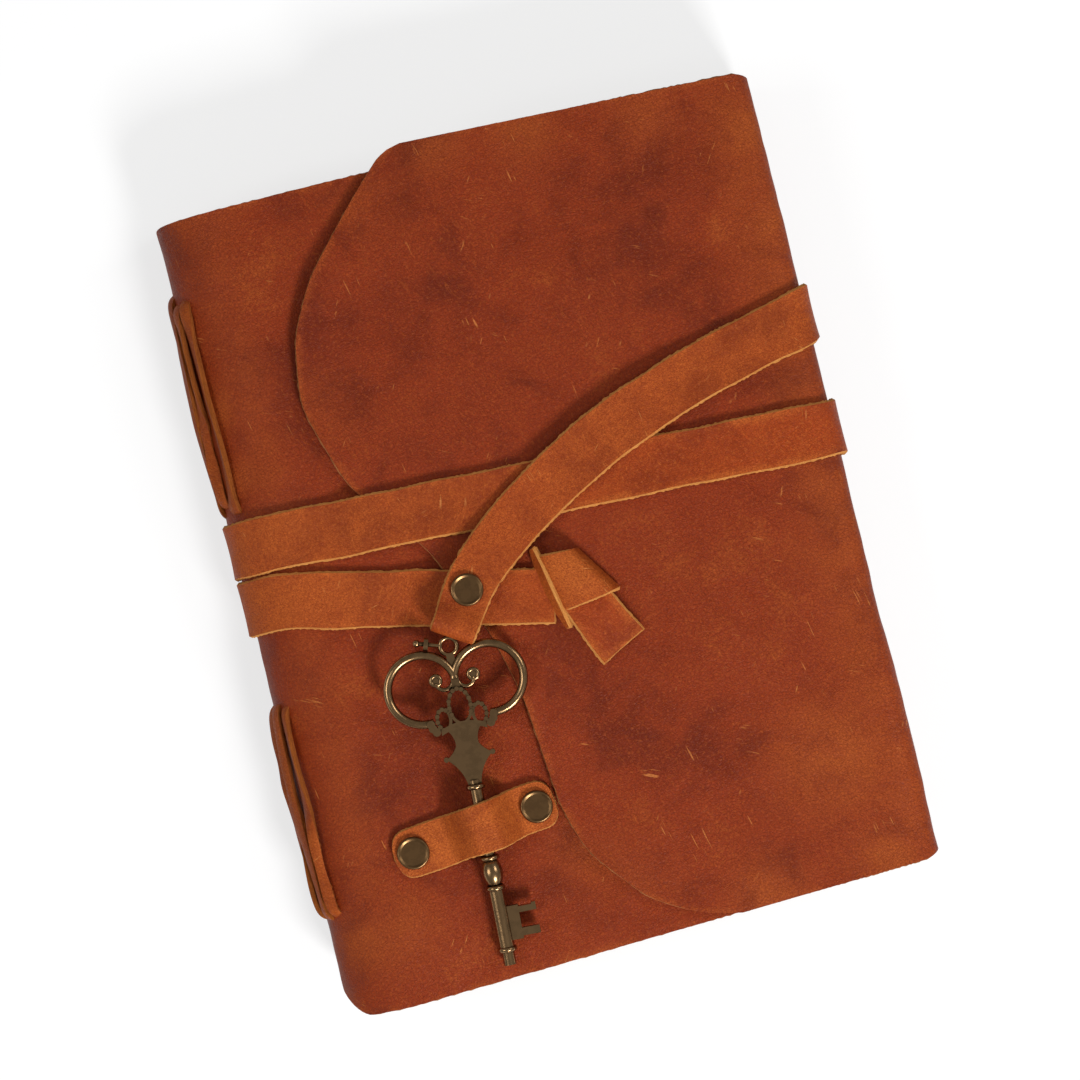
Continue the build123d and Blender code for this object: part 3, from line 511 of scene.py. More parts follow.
HIDE = leather("hide", rgb(104, 32, 9), rgb(144, 52, 17), rgb(182, 90, 34), rgb(210, 128, 64))
STRAP = leather(
    "strap", rgb(124, 42, 10), rgb(168, 68, 21), rgb(206, 110, 44), rgb(218, 142, 76),
    wear=1.2, gloss=0.48, grain=0.85, mottle=0.65,
)
LACE = leather(
    "lace", rgb(118, 44, 8), rgb(158, 70, 18), rgb(192, 104, 40), rgb(206, 132, 70),
    wear=0.6, gloss=0.5, grain=0.8,
)
LACE_RAW = suede("lace_raw_edge", rgb(104, 44, 12), rgb(186, 104, 42), 0.4)
FLESH = suede("flesh", rgb(120, 58, 26), rgb(168, 96, 48))
RAW = suede("raw_edge", rgb(190, 106, 42), rgb(242, 174, 96), 0.4)
HIDE_RAW = suede("hide_raw_edge", rgb(140, 74, 36), rgb(214, 144, 86), 0.4)
PAPER = paper_stock("paper", rgb(232, 220, 192), rgb(198, 178, 140))
BRASS = old_brass("rivet_brass", rgb(30, 22, 15), rgb(122, 92, 60))
BRONZE = old_brass("key_bronze", rgb(24, 17, 12), rgb(152, 120, 84), 0.23)

HIDE_SET = (HIDE, FLESH, HIDE_RAW)
STRAP_SET = (STRAP, FLESH, RAW)
LACE_SET = (LACE, FLESH, LACE_RAW)
PAPER_SET = (PAPER, PAPER, PAPER)


# Hide

HIDE_STEP = 1.0
COVER_COLUMNS = 187
FLAP_ROWS = 121
FLAP_COLUMNS = 231
FLAP_CROWDING = 1.35

# Free edge of the flap, from head to tail
FLAP_EDGE = [
    (-14.0, 92.0), (-24.6, 81.4), (-37.5, 67.0), (-44.1, 54.9), (-46.5, 40.0),
    (-40.5, 21.0), (-26.0, 3.0), (-17.0, -18.0), (-13.3, -33.0), (-11.2, -58.3),
    (-7.8, -69.5), (3.2, -83.2), (14.2, -89.7), (23.0, -92.0),
]
FLAP_EDGE_STEP = 0.8
FLAP_EDGE_SOFT = 4.0
FLAP_ROUND = 3.5
FLAP_CORNER = 3.5

# Crooked head and tail edges
FLAP_HEAD_Y = 94.4
FLAP_HEAD_SLOPE = -0.0386
FRONT_HEAD_Y = 89.9
HEAD_DIP = 1.4
HEAD_DIP_REACH = 5.0
TAIL_LEFT_X = -55.0
TAIL_LEFT_Y = -96.5
TAIL_SLOPE = 0.0385
FRONT_INSET = 0.8
FRONT_INSET_X = (22.0, 36.0)
SPINE_TAIL_Y = -88.8

# Where the edges change round the spine, in steps from its outermost line
HEAD_CHANGE = (-14.0, 0.0)
TAIL_TO_SPINE = (-14.0, -2.0)
TAIL_TO_FRONT = (1.5, 14.0)

# Soft roll of the spine into the front
ROLL_X = -50.0
ROLL_RISE = 12.0
ROLL_POINTS = 40

# Dents, and the curl and the thinner leather along the flap's free edge
DENT_SIZE = 34.0
DENT_START = (2.0, 20.0)
SMALL_DENT = 0.05
COVER_DENT = 0.2
FLAP_DENT = 0.14
STRAP_ROOM = (8.0, 24.0)
CURL_LIFT = 1.3
CURL_REACH = 9.0
CURL_SWELL = 46.0
SKIVE_DEPTH = 0.5
SKIVE_REACH = 5.0

# Spots where the hide is rubbed lighter, and rows of spots along the spine's and fore-edge's rolls that are
# painted sheen: X, Y, size and strength
SHEEN_ROLL = range(-84, 90, 8)
COVER_WEAR_AND_SHEEN = [
    (-66, 46, 6, 0.7), (-64, 30, 5, 0.6), (-53, -79, 9, 0.5), (-5, -69, 10, 0.5), (-62, -80, 7, 0.6),
    # Painted sheen along the spine's roll
    *((-58, y, 6, 0.3) for y in SHEEN_ROLL),
]
FLAP_WEAR_AND_SHEEN = [
    (67, 78, 8, 0.8), (67, 58, 8, 0.7), (52, -64, 13, 0.75), (58, -90, 9, 0.7), (30, -92, 9, 0.6),
    (17, 91, 8, 0.6), (-3, 92, 7, 0.5), (45, 88, 9, 0.4), (60, -20, 8, 0.35),
    # Painted sheen along the fore-edge's roll
    *((65, y, 8, 0.5) for y in SHEEN_ROLL),
]
EDGE_WEAR = 0.4
EDGE_WEAR_REACH = 6.0
EDGE_WEAR_SWELL = 40.0


def flap_edge(y):
    """X of the flap's free edge."""
    line = smooth_path(FLAP_EDGE, FLAP_EDGE_STEP, FLAP_EDGE_SOFT)[::-1]
    over = np.clip(y - (HALF_HEIGHT - FLAP_ROUND), 0, FLAP_ROUND)
    return np.interp(y, line[:, 1], line[:, 0]) + FLAP_ROUND - np.sqrt(FLAP_ROUND ** 2 - over ** 2)


def fore_line(radius, low, high):
    """Points in X and Z from under the book, round its fore-edge, to its front."""
    lower = arc_points((FORE_X, low + radius), radius, -90, 0)
    upper = arc_points((FORE_X, high - radius), radius, 0, 90)
    return np.concatenate([lower, upper])


def spine_line(offset):
    """Points in X and Z from under the book, round its rolled spine, to its front; offset is outwards."""
    radius = SPINE_RADIUS - LEATHER / 2
    lower = arc_points((SPINE_X, BACK_LOW + SPINE_RADIUS), radius + offset, 270, 180)
    angle = np.radians(np.linspace(180, 90, ROLL_POINTS))[:, None]
    center = np.array([ROLL_X, FRONT_TOP - LEATHER / 2 - ROLL_RISE])
    reach = np.array([ROLL_X - SPINE_X + radius + offset, ROLL_RISE + offset])
    roll = center + reach * np.hstack([np.cos(angle), np.sin(angle)])
    return np.concatenate([lower, roll])


def tail_edge(x):
    """Y of the cover's slightly crooked tail edge."""
    return TAIL_LEFT_Y + TAIL_SLOPE * np.maximum(x - TAIL_LEFT_X, 0)


def section_normals(middle, side):
    """Outward normals of a grid whose first index runs along the section."""
    along = np.gradient(middle, axis=0)
    out = np.zeros_like(middle)
    out[..., 0] = side * along[..., 2]
    out[..., 2] = -side * along[..., 0]
    return unit(out)


def dents(flat, reach, deep, small_size, seed):
    """Unevenness of the hide, which starts a little way from the joint under the book."""
    plan = flat[..., :2]
    uneven = deep * ripple(plan, DENT_SIZE, seed) + SMALL_DENT * ripple(plan, small_size, seed + 1)
    return uneven * smooth_step(reach, *DENT_START)


def hide_wear_and_sheen(parts, spots):
    """How far the hide is pulled lighter, here and there along its cut edges and round some spots; the rows
    of spots along the rolls are painted sheen.
    """
    points, edge = parts[0], parts[4]
    some = smooth_step(ripple(points[:, :2], EDGE_WEAR_SWELL, 15), 0.1, 1.2)
    wear = EDGE_WEAR * some * np.exp(-edge / EDGE_WEAR_REACH)
    for x, y, size, most in spots:
        away = np.hypot(points[:, 0] - x, points[:, 1] - y) / size
        wear = np.maximum(wear, most * np.exp(-away ** 2))
    return wear


def make_cover():
    """Back half, spine and front of the hide."""
    turn = spine_line(0)
    line = resample(np.concatenate([[(0, turn[0, 1])], turn, [(FRONT_EDGE_X, turn[-1, 1])]]), HIDE_STEP)
    x = line[:, 0]
    past = np.arange(len(line)) - float(np.argmin(x))
    front_low = tail_edge(x) + FRONT_INSET * smooth_step(x, *FRONT_INSET_X)
    low = mixed(-HALF_HEIGHT, SPINE_TAIL_Y, smooth_step(past, *TAIL_TO_SPINE))
    low = mixed(low, front_low, smooth_step(past, *TAIL_TO_FRONT))[:, None]
    high = mixed(HALF_HEIGHT, FRONT_HEAD_Y, smooth_step(past, *HEAD_CHANGE))
    high = (high - HEAD_DIP * np.exp(-(past / HEAD_DIP_REACH) ** 2))[:, None]
    middle = np.zeros((len(line), COVER_COLUMNS, 3))
    middle[..., 0] = line[:, :1]
    middle[..., 1] = mixed(low, high, np.linspace(0, 1, COVER_COLUMNS))
    middle[..., 2] = line[:, 1:]
    normal = section_normals(middle, -1)
    reach = reach_of(middle)
    flat = np.stack([-reach, middle[..., 1], np.zeros_like(reach)], -1)
    middle += normal * dents(flat, reach, COVER_DENT, small_size=9, seed=11)[..., None]
    to_side = np.minimum(middle[..., 1] - low, high - middle[..., 1])
    edge = np.minimum(to_side, reach[-1:] - reach)
    parts = slab(middle, normal, flat, LEATHER, edge, seed=21, fray=0.08, lip=0.15)
    thing = make_object("cover_hide", parts, HIDE_SET, hide_wear_and_sheen(parts, COVER_WEAR_AND_SHEEN))
    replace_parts(thing, "back_cover", "spine", "front_cover")
    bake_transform(thing)


def make_flap(straps):
    """Other half of the back, fore-edge and flap, with its wavy free edge lifted here and there."""
    turn = fore_line(FORE_RADIUS - LEATHER / 2, BACK_LOW + LEATHER / 2, FLAP_TOP - LEATHER / 2)
    line = resample(np.concatenate([[(0, turn[0, 1])], turn]), HIDE_STEP)
    y = np.linspace(-HALF_HEIGHT, HALF_HEIGHT, FLAP_COLUMNS)
    free = flap_edge(y)
    share = 1 - (1 - np.linspace(0, 1, FLAP_ROWS)[1:, None]) ** FLAP_CROWDING
    x = np.concatenate([np.broadcast_to(line[:, :1], (len(line), len(y))), mixed(FORE_X, free, share)])
    z = np.concatenate([line[:, 1:], np.full((len(share), 1), turn[-1, 1])])
    on_front = (np.arange(len(x)) >= len(line))[:, None]
    crooked = np.where(on_front, 1, smooth_step(x, 0, FORE_X))
    head = mixed(HALF_HEIGHT, FLAP_HEAD_Y + FLAP_HEAD_SLOPE * (x - FLAP_EDGE[0][0]), crooked)
    tail = mixed(HALF_HEIGHT, -tail_edge(x), crooked)
    corner = FLAP_CORNER * (1 - np.sqrt(1 - np.clip((x - FORE_X) / FORE_RADIUS, 0, 0.98) ** 2))
    height = (np.where(y > 0, head, tail) - corner) / HALF_HEIGHT
    middle = np.stack([x, y * height, np.broadcast_to(z, x.shape)], -1)
    normal = section_normals(middle, 1)
    reach = reach_of(middle)
    flat = np.stack([reach, middle[..., 1], np.zeros_like(reach)], -1)
    past = np.where(on_front, (x - free) / np.sqrt(1 + np.gradient(free, y) ** 2), FAR)
    room = smooth_step(distance_to_path(middle, straps), *STRAP_ROOM)
    wave = 0.6 + 0.4 * ripple(np.stack([y, y * 0], -1), CURL_SWELL, 31)
    curl = CURL_LIFT * np.exp(-past / CURL_REACH) * wave * room * on_front
    uneven = dents(flat, reach, FLAP_DENT, small_size=8, seed=32) * (0.35 + 0.65 * room)
    middle += normal * (uneven + curl)[..., None]
    edge = np.minimum(HALF_HEIGHT - np.abs(y), np.maximum(past, 0))
    thick = LEATHER - SKIVE_DEPTH * np.exp(-past / SKIVE_REACH)
    parts = slab(middle, normal, flat, thick, edge, seed=22, fray=0.1, lip=0.25)
    thing = make_object("flap_hide", parts, HIDE_SET, hide_wear_and_sheen(parts, FLAP_WEAR_AND_SHEEN))
    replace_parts(thing, "fore_edge", "flap")
    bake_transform(thing)


# Strap

STRAP_STEP = 0.5
STRAP_ROUNDS = 24
STRAP_FRAY = 0.09
STRAP_LIP = 0.4
STRAP_OFFSET = LEATHER / 2 + STRAP_THICKNESS / 2 + 0.1
UNDER_STEP = 2.0
RUN_CUP = 0.25
CUP_SWELL = 28.0
FLAP_DROP = 13.0
START_FLAP_X = -22.0
FRONT_FLAP_X = -35.0
KNOT_PLACE = (-1.2, -13.6)

# Middle of the strap's last run in plan, from the fore-edge to the key
TAIL_POINTS = [
    (65.5, 33.2), (55.7, 31.0), (42.1, 27.6), (28.0, 22.9), (15.5, 17.6), (5.5, 12.2),
    (-4.2, 5.9), (-11.4, 0.7), (-17.0, -4.1), (-20.2, -8.3), (-22.4, -11.7), (-24.6, -15.12),
]
TAIL_SOFT = 4.0
TAIL_DRIFT = 2.0
TAIL_SEED = 45
TAIL_PATTERN = 560.0
TAIL_CLIMB = (16.0, 38.0)
FOLD_CLIMB = 14.0

# Folded end: length, inner radius, and rises above its level at distances before the key's bar
END_LENGTH = 14.0
END_FOLD_INNER = 1.1
FOLD_RISE = [(6.0, 0.0), (4.5, 0.3), (2.0, 1.5)]
FOLD_RETURN = 2.0
FOLD_STEP = 0.3

# Width and cup of the last run, by distance past the place where the folded end starts
TAIL_WIDTHS = [(-30.0, STRAP_WIDTH), (0.0, 12.0), (6.0, 11.2), (END_LENGTH, 10.6)]
TAIL_CUPS = [(-20.0, 0.2), (0.0, -0.1)]


def section_strap(line, y):
    """Strap that follows a line in X and Z: places and outward sides."""
    tangent = np.gradient(line, axis=0)
    out = unit(np.stack([tangent[:, 1], -tangent[:, 0]], 1))
    return np.stack([line[:, 0], y, line[:, 1], out[:, 0], np.zeros(len(line)), out[:, 1]], 1)


def fore_turn(y, drift=0.0):
    """Strap round the fore-edge, from under the book to its front."""
    line = fore_line(FORE_TURN_RADIUS - STRAP_THICKNESS / 2, UNDER_MIDDLE, RUN_MIDDLE)
    return section_strap(line, y + drift * np.sin(math.pi * np.linspace(0, 1, len(line))))


def spine_turn(y, slope):
    """Strap close round the spine, from the front to under the book; on the front its Y keeps its slope."""
    line = spine_line(STRAP_OFFSET)[::-1]
    return section_strap(line, y + slope * np.maximum(line[:, 0] - SPINE_X, 0))


def flat_line(points, up=1.0):
    """Strap along points, face up or face down."""
    side = np.tile([0, 0, up], (len(points), 1))
    return np.concatenate([points, side], axis=1)


def under_run(left_y, right_y):
    """Strap under the book, from the spine to the fore-edge."""
    ends = [(SPINE_X, left_y, UNDER_MIDDLE), (FORE_X, right_y, UNDER_MIDDLE)]
    return flat_line(resample(ends, UNDER_STEP), -1.0)


def front_run(start, end_y, flap_x):
    """Strap from a place on the flap, down past the flap's edge and on to where the spine's roll begins."""
    slope = (end_y - start[1]) / (SPINE_X - start[0])
    x = np.arange(start[0], ROLL_X, -STRAP_STEP)
    y = start[1] + slope * (x - start[0])
    low = FRONT_TOP - LEATHER / 2 + STRAP_OFFSET
    z = mixed(RUN_MIDDLE, low, smooth_step(flap_x - x, -1, FLAP_DROP))
    return flat_line(np.stack([x, y, z], 1)), slope


def strap_piece(name, lines, cup, seed, start, ends=(0, 0), pull=(0.2, 0.2)):
    """One length of strap; pull says how light it is towards the spine and towards the fore-edge."""
    line = soften(resample(np.concatenate(lines), STRAP_STEP), STRAP_ROUNDS)
    wave_line = np.stack([np.arange(len(line)) * STRAP_STEP, np.full(len(line), seed * 3.1)], 1)
    bend = cup * (0.6 + 0.4 * ripple(wave_line, CUP_SWELL, seed + 7))
    parts = strip(
        line[:, :3], line[:, 3:], STRAP_WIDTH, STRAP_THICKNESS,
        cup=bend, seed=seed, fray=STRAP_FRAY, lip=STRAP_LIP, start=start, ends=ends,
    )
    lighter = np.interp(parts[0][:, 0], (SPINE_X, FORE_X), pull)
    thing = make_object(name, parts, STRAP_SET, lighter)
    return thing


def make_strap():
    """Strap from the knot, twice round the book, to its last turn."""
    run, slope = front_run(KNOT_PLACE, LEFT_LOW_Y, START_FLAP_X)
    lines = [run, spine_turn(LEFT_LOW_Y, slope)]
    # Less pull-up colour towards the knot end: painted shade where this run goes under the knot's standing
    # fold
    start = strap_piece("strap_start_run", lines, RUN_CUP, seed=41, start=0.0, ends=(1, 0), pull=(0.5, -0.2))
    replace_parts(start, "strap_start", "strap_spine_turn_1")
    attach(start, "flap")

    lines = [under_run(LEFT_LOW_Y, RIGHT_LOW_Y)]
    under = strap_piece("strap_under_low", lines, 0.0, seed=42, start=100.0)
    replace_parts(under, "strap_back_1")
    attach(under, "back")

    run, slope = front_run((FORE_X, RIGHT_LOW_Y), LEFT_HIGH_Y, FRONT_FLAP_X)
    lines = [fore_turn(RIGHT_LOW_Y), run, spine_turn(LEFT_HIGH_Y, slope)]
    front = strap_piece("strap_front_run", lines, RUN_CUP, seed=43, start=230.0, pull=(0.45, -0.1))
    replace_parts(front, "strap_fore_turn_1", "strap_front", "strap_spine_turn_2")
    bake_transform(front)

    lines = [under_run(LEFT_HIGH_Y, RIGHT_HIGH_Y)]
    under = strap_piece("strap_under_high", lines, 0.0, seed=44, start=420.0)
    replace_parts(under, "strap_back_2")
    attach(under, "back")


def tail_plan():
    """Middle of the strap's last run up to its folded end, and the end's plan on to the key's bar."""
    plan = smooth_path(TAIL_POINTS, STRAP_STEP, TAIL_SOFT)
    cut = len(plan) - 1 - int(round(END_LENGTH / STRAP_STEP))
    tail, end = plan[:cut + 1], plan[cut:]
    to_end = np.hypot(*(tail - end[0]).T)
    z = mixed(RUN_MIDDLE, TAIL_MIDDLE, smooth_step(FORE_X - tail[:, 0], *TAIL_CLIMB))
    z += (FOLD_MIDDLE - TAIL_MIDDLE) * smooth_step(-to_end, -FOLD_CLIMB, 0)
    return np.concatenate([tail, z[:, None]], axis=1), end


def fold_line(end):
    """Strap's end on the way to the key's bar, round it and back underneath: places and outward sides."""
    way = unit(np.gradient(end, axis=0))
    reach = np.arange(len(end)) * STRAP_STEP
    long = reach[-1]
    radius = END_FOLD_INNER + STRAP_THICKNESS / 2
    upper = [(0, FOLD_MIDDLE)] + [(long - before, FOLD_MIDDLE + rise) for before, rise in FOLD_RISE]
    fold = arc_points((long, KEY_LEVEL), radius, 90, -90, FOLD_STEP)
    line = resample(np.concatenate([upper, fold, [(FOLD_RETURN, KEY_LEVEL - radius)]]), STRAP_STEP)
    tangent = np.gradient(line, axis=0)
    out = unit(np.stack([-tangent[:, 1], tangent[:, 0]], 1))
    past = np.maximum(line[:, 0] - long, 0)[:, None]
    plan = np.stack([np.interp(line[:, 0], reach, values) for values in end.T], 1) + way[-1] * past
    heading = unit(np.stack([np.interp(line[:, 0], reach, values) for values in way.T], 1))
    return np.concatenate([plan, line[:, 1:], heading * out[:, :1], out[:, 1:]], 1)


def make_strap_tail():
    """Last run of the strap and its folded end: one strip, parted where the end moves with the key."""
    tail, end = tail_plan()
    rise = fore_turn(RIGHT_HIGH_Y, TAIL_DRIFT)
    run = soften(resample(np.concatenate([rise, flat_line(tail)]), STRAP_STEP), STRAP_ROUNDS)
    line = np.concatenate([run[:-1], fold_line(end)])
    cut = len(run) - 1
    past = (np.arange(len(line)) - cut) * STRAP_STEP
    width = np.interp(past, *zip(*TAIL_WIDTHS))
    cup = np.interp(past, *zip(*TAIL_CUPS))
    grid = strip_grid(
        line[:, :3], line[:, 3:], width, cup, STRIP_COLUMNS, TAIL_SEED, STRAP_LIP, TAIL_PATTERN, (0, 1),
    )
    pieces = []
    for name, rows, ends in (
        ("strap_tail_run", slice(0, cut + 1), (0, 0)),
        ("strap_fold", slice(cut, None), (0, 1)),
    ):
        middle, normal, flat, edge = [values[rows] for values in grid]
        parts = slab(middle, normal, flat, STRAP_THICKNESS, edge, TAIL_SEED, STRAP_FRAY, STRAP_LIP, ends)
        thing = make_object(name, parts, STRAP_SET, pull=0.33)
        pieces.append(thing)
    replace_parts(pieces[0], "strap_fore_turn_2", "strap_tail")
    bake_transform(pieces[0])
    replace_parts(pieces[1], "strap_end")
    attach(pieces[1], "key")


# Knot

KNOT_STEP = 0.6
KNOT_FRAY = 0.07

KNOT_TAIL_POINTS = [
    (1.6, -7.0, 31.6), (4.2, -13.0, 33.0), (6.8, -19.0, 33.2), (9.2, -24.2, 32.4), (11.3, -28.2, 31.4),
]
KNOT_TAIL_SOFT = 2.5
KNOT_TAIL_WIDTHS = [(0.0, 9.5), (0.5, 11.6), (1.0, 12.4)]
KNOT_TAIL_CUP = 0.35

# Upper and lower ends of the loop's left and right sides, and its levels by share of its length
LOOP_LEFT = np.array([(-2.0, -4.2), (0.6, -17.2)])
LOOP_RIGHT = np.array([(5.4, -4.6), (12.2, -15.6)])
LOOP_LEVELS = np.array([
    (-0.06, 30.9), (-0.02, 32.6), (0.06, 34.0), (0.3, 34.9), (0.6, 35.0),
    (0.88, 34.4), (1.0, 33.2), (1.06, 31.8), (1.1, 30.9),
])
LOOP_LENGTH = 10.0
LOOP_STEP = 0.35
LOOP_SOFT = 0.7
LOOP_COLUMNS = 15
LOOP_CROWN = 0.25
LOOP_THICKNESS = 1.3

KNOT_FOLD_POINTS = [(-3.2, -2.2, 32.3), (-2.2, -9.0, 32.7), (-1.1, -15.0, 32.7), (0.6, -21.2, 32.0)]
KNOT_FOLD_SOFT = 3.0
KNOT_FOLD_FACE = (-1.0, 0.1, 0.55)
KNOT_FOLD_HEIGHTS = [(0.0, 2.6), (0.2, 4.0), (0.8, 3.8), (1.0, 2.4)]
KNOT_FOLD_COLUMNS = 7


def by_share(line, values):
    """Values along a line, from a list of shares of its length and values."""
    return np.interp(np.linspace(0, 1, len(line)), *zip(*values))


def make_knot_tail():
    """Short end of the strap that hangs out of the knot."""
    line = smooth_path(KNOT_TAIL_POINTS, KNOT_STEP, KNOT_TAIL_SOFT)
    up = np.tile([0.0, 0.0, 1.0], (len(line), 1))
    parts = strip(
        line, up, by_share(line, KNOT_TAIL_WIDTHS), STRAP_THICKNESS,
        cup=KNOT_TAIL_CUP, seed=61, fray=KNOT_FRAY, lip=STRAP_LIP, start=710.0,
    )
    tail = make_object("knot_tail_strip", parts, STRAP_SET)
    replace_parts(tail, "knot_tail")
    return tail


def make_knot_loop():
    """Band of the strap over its own short end."""
    levels = smooth_path(LOOP_LEVELS * [LOOP_LENGTH, 1], LOOP_STEP, LOOP_SOFT)
    share = levels[:, 0] / LOOP_LENGTH
    across = np.linspace(0, 1, LOOP_COLUMNS)
    start = mixed(*LOOP_LEFT, across[:, None])
    end = mixed(*LOOP_RIGHT, across[:, None])
    plan = mixed(start[None], end[None], share[:, None, None])
    crown = LOOP_CROWN * np.sin(math.pi * across)[None] * np.clip(share, 0, 1)[:, None]
    middle = np.concatenate([plan, (levels[:, 1:] + crown)[..., None]], -1)
    normal = unit(np.cross(np.gradient(middle, axis=0), np.gradient(middle, axis=1)))
    normal *= np.sign(normal[len(share) // 2, LOOP_COLUMNS // 2, 2])
    reach = reach_of(middle)
    far = np.linalg.norm(middle - middle[:, :1], axis=-1)
    flat = np.stack([reach + 760, far, np.full(reach.shape, 9.0)], -1)
    edge = np.minimum(far, far[:, -1:] - far)
    parts = slab(middle, normal, flat, LOOP_THICKNESS, edge, seed=62, fray=KNOT_FRAY, lip=STRAP_LIP)
    loop = make_object("knot_loop_band", parts, STRAP_SET, pull=0.75)
    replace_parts(loop, "knot_loop")
    return loop


def make_knot_fold():
    """Narrow fold that stands up beside the loop."""
    line = smooth_path(KNOT_FOLD_POINTS, KNOT_STEP, KNOT_FOLD_SOFT)
    up = np.tile(KNOT_FOLD_FACE, (len(line), 1))
    parts = strip(
        line, up, by_share(line, KNOT_FOLD_HEIGHTS), STRAP_THICKNESS,
        cup=0.0, across=KNOT_FOLD_COLUMNS, seed=63, fray=KNOT_FRAY, lip=0.35, start=800.0,
    )
    fold = make_object("knot_fold_strip", parts, STRAP_SET, pull=0.7)
    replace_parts(fold, "knot_fold")
    return fold


def make_knot():
    """Strap's own start, drawn through a loop of itself."""
    for piece in (make_knot_tail(), make_knot_loop(), make_knot_fold()):
        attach(piece, "flap")


# Keeper

KEEPER_LEFT = np.array([-46.1, -62.5])
KEEPER_RIGHT = np.array([-16.5, -59.0])
KEEPER_WIDTH = 11.4
KEEPER_END = 4.4
KEEPER_ROUND_END = KEEPER_END + 0.2
KEEPER_THICKNESS = 1.6
KEEPER_SEAT = 0.05
KEEPER_STEP = 0.4
KEEPER_COLUMNS = 15
KEEPER_ROOF = 34.64

# Place of the key's stem along the keeper, and where the bulge over it starts and ends
STEM_ALONG = 17.03
BULGE_REACH = (1.2, 9.0)


def make_keeper():
    """Riveted strip that bulges over the key's stem."""
    span = np.linalg.norm(KEEPER_RIGHT - KEEPER_LEFT)
    along = np.arange(-KEEPER_END, span + KEEPER_END, KEEPER_STEP)
    plan = KEEPER_LEFT + (KEEPER_RIGHT - KEEPER_LEFT) / span * along[:, None]
    low = FRONT_TOP + KEEPER_THICKNESS / 2 + KEEPER_SEAT
    bulge = 1 - smooth_step(np.abs(along - STEM_ALONG), *BULGE_REACH)
    z = mixed(low, KEEPER_ROOF + KEEPER_THICKNESS / 2, bulge)
    past = np.maximum(np.maximum(-along, along - span), 0) / KEEPER_ROUND_END
    width = KEEPER_WIDTH * (1 - past ** 2.6) ** 0.45
    up = np.tile([0.0, 0.0, 1.0], (len(along), 1))
    parts = strip(
        np.concatenate([plan, z[:, None]], 1), up, width, KEEPER_THICKNESS,
        cup=-0.1, across=KEEPER_COLUMNS, seed=71, fray=0.06, lip=0.35, start=850.0,
    )
    keeper = make_object("keeper_strip", parts, STRAP_SET, pull=0.85)
    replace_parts(keeper, "keeper")
    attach(keeper, "front")


# Lacing

LACE_NEAR = 22.0
LACE_FAR = 73.0
LACE_PITCH = 3.2
LACE_COUNT = 6
LACE_THICKNESS = 1.2
LACE_WIDTHS = (2.2, 3.0)
LACE_LEAN = 0.9
LACE_BOW = 0.9
LACE_SWAY = (-0.9, 1.7)
NEAR_SPREAD = 1.2
FAR_SPREAD = 1.6
LACE_COLUMNS = 9
LACE_STEP = 0.5
LACE_SOFT = 1.4
SPINE_STEP = 0.25

# How a thong comes out of the spine: distance from its near end and height above the leather
LACE_RISE = [(0.4, -2.4), (0.5, -0.6), (1.3, 0.5), (3.5, 0.85)]


def spine_place(reach):
    """Place outside the spine at a distance from its middle, its outward direction and the way round."""
    line = resample(spine_line(LEATHER / 2), SPINE_STEP)
    middle = np.argmin(np.abs(line[:, 1] - (BACK_LOW + FRONT_TOP) / 2))
    at = int(middle + round(reach / SPINE_STEP))
    x, z = line[at]
    way = unit(line[at + 1] - line[at - 1])
    return np.array([x, 0, z]), np.array([-way[1], 0, way[0]]), np.array([way[0], 0, way[1]])


def make_lacing(name, side, seed):
    """Thongs that sew the gatherings through the spine, each a little different."""
    draw = np.random.default_rng(seed)
    slabs = []
    for index in range(LACE_COUNT):
        reach = (index - (LACE_COUNT - 1) / 2) * LACE_PITCH
        origin, out, round_way = spine_place(reach)
        near = LACE_NEAR + draw.uniform(-NEAR_SPREAD, NEAR_SPREAD)
        far = LACE_FAR + draw.uniform(-FAR_SPREAD, FAR_SPREAD)
        rise = [(near + along, height) for along, height in LACE_RISE]
        fall = [(near + far - along, height) for along, height in reversed(rise)]
        line = smooth_path(rise + fall, LACE_STEP, LACE_SOFT)
        t = np.clip((line[:, 0] - near) / (far - near), 0, 1)
        arch = np.sin(math.pi * t)
        height = line[:, 1] + draw.uniform(0.0, LACE_BOW) * arch
        sway = draw.uniform(*LACE_SWAY) + 0.6 * np.sin(t * draw.uniform(4, 9) + draw.uniform(0, 6))
        points = origin + out * height[:, None] + round_way * (sway * arch)[:, None]
        points[:, 1] = side * line[:, 0]
        tangent = unit(np.gradient(np.stack([line[:, 0], height], 1), axis=0))
        lean = draw.uniform(-LACE_LEAN, LACE_LEAN) * np.sin(t * math.pi * draw.uniform(1, 2.5))
        up = out * tangent[:, :1] + np.array([0, -side, 0]) * tangent[:, 1:] + round_way * lean[:, None]
        width = draw.uniform(*LACE_WIDTHS) + 0.3 * ripple(line, 12, seed + index)
        slabs.append(strip(
            points, up, width, LACE_THICKNESS,
            cup=-0.2, across=LACE_COLUMNS, seed=seed + index, fray=0.1, lip=0.2, start=index * 60.0,
        ))
    thing = make_object(name, join_parts(slabs), LACE_SET, pull=0.15)
    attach(thing, "back")
    return thing


# Paper

SHEETS = 5
LEAF = GATHERING_THICKNESS / (2 * SHEETS)
PAPER_THICKNESS = 0.26
FOLD_CLEARANCE = 0.05
FOLD_POINT_STEP = 0.35
FINE_X = -40.0
PAPER_COLUMNS = 61
PAPER_CROWDING = 1.3
PAPER_PRESS = 0.17
PRESS_END_X = ROLL_X + 4
TRIM = 0.5
DECKLE_START_X = 40.0


def torn_half(tear, seed):
    """Half height of a sheet at one torn edge."""
    fine = 0.35 * np.abs(ripple(tear, 5, seed))
    return PAGE_HALF - TRIM - fine - 0.3 * np.abs(ripple(tear, 22, seed + 1))


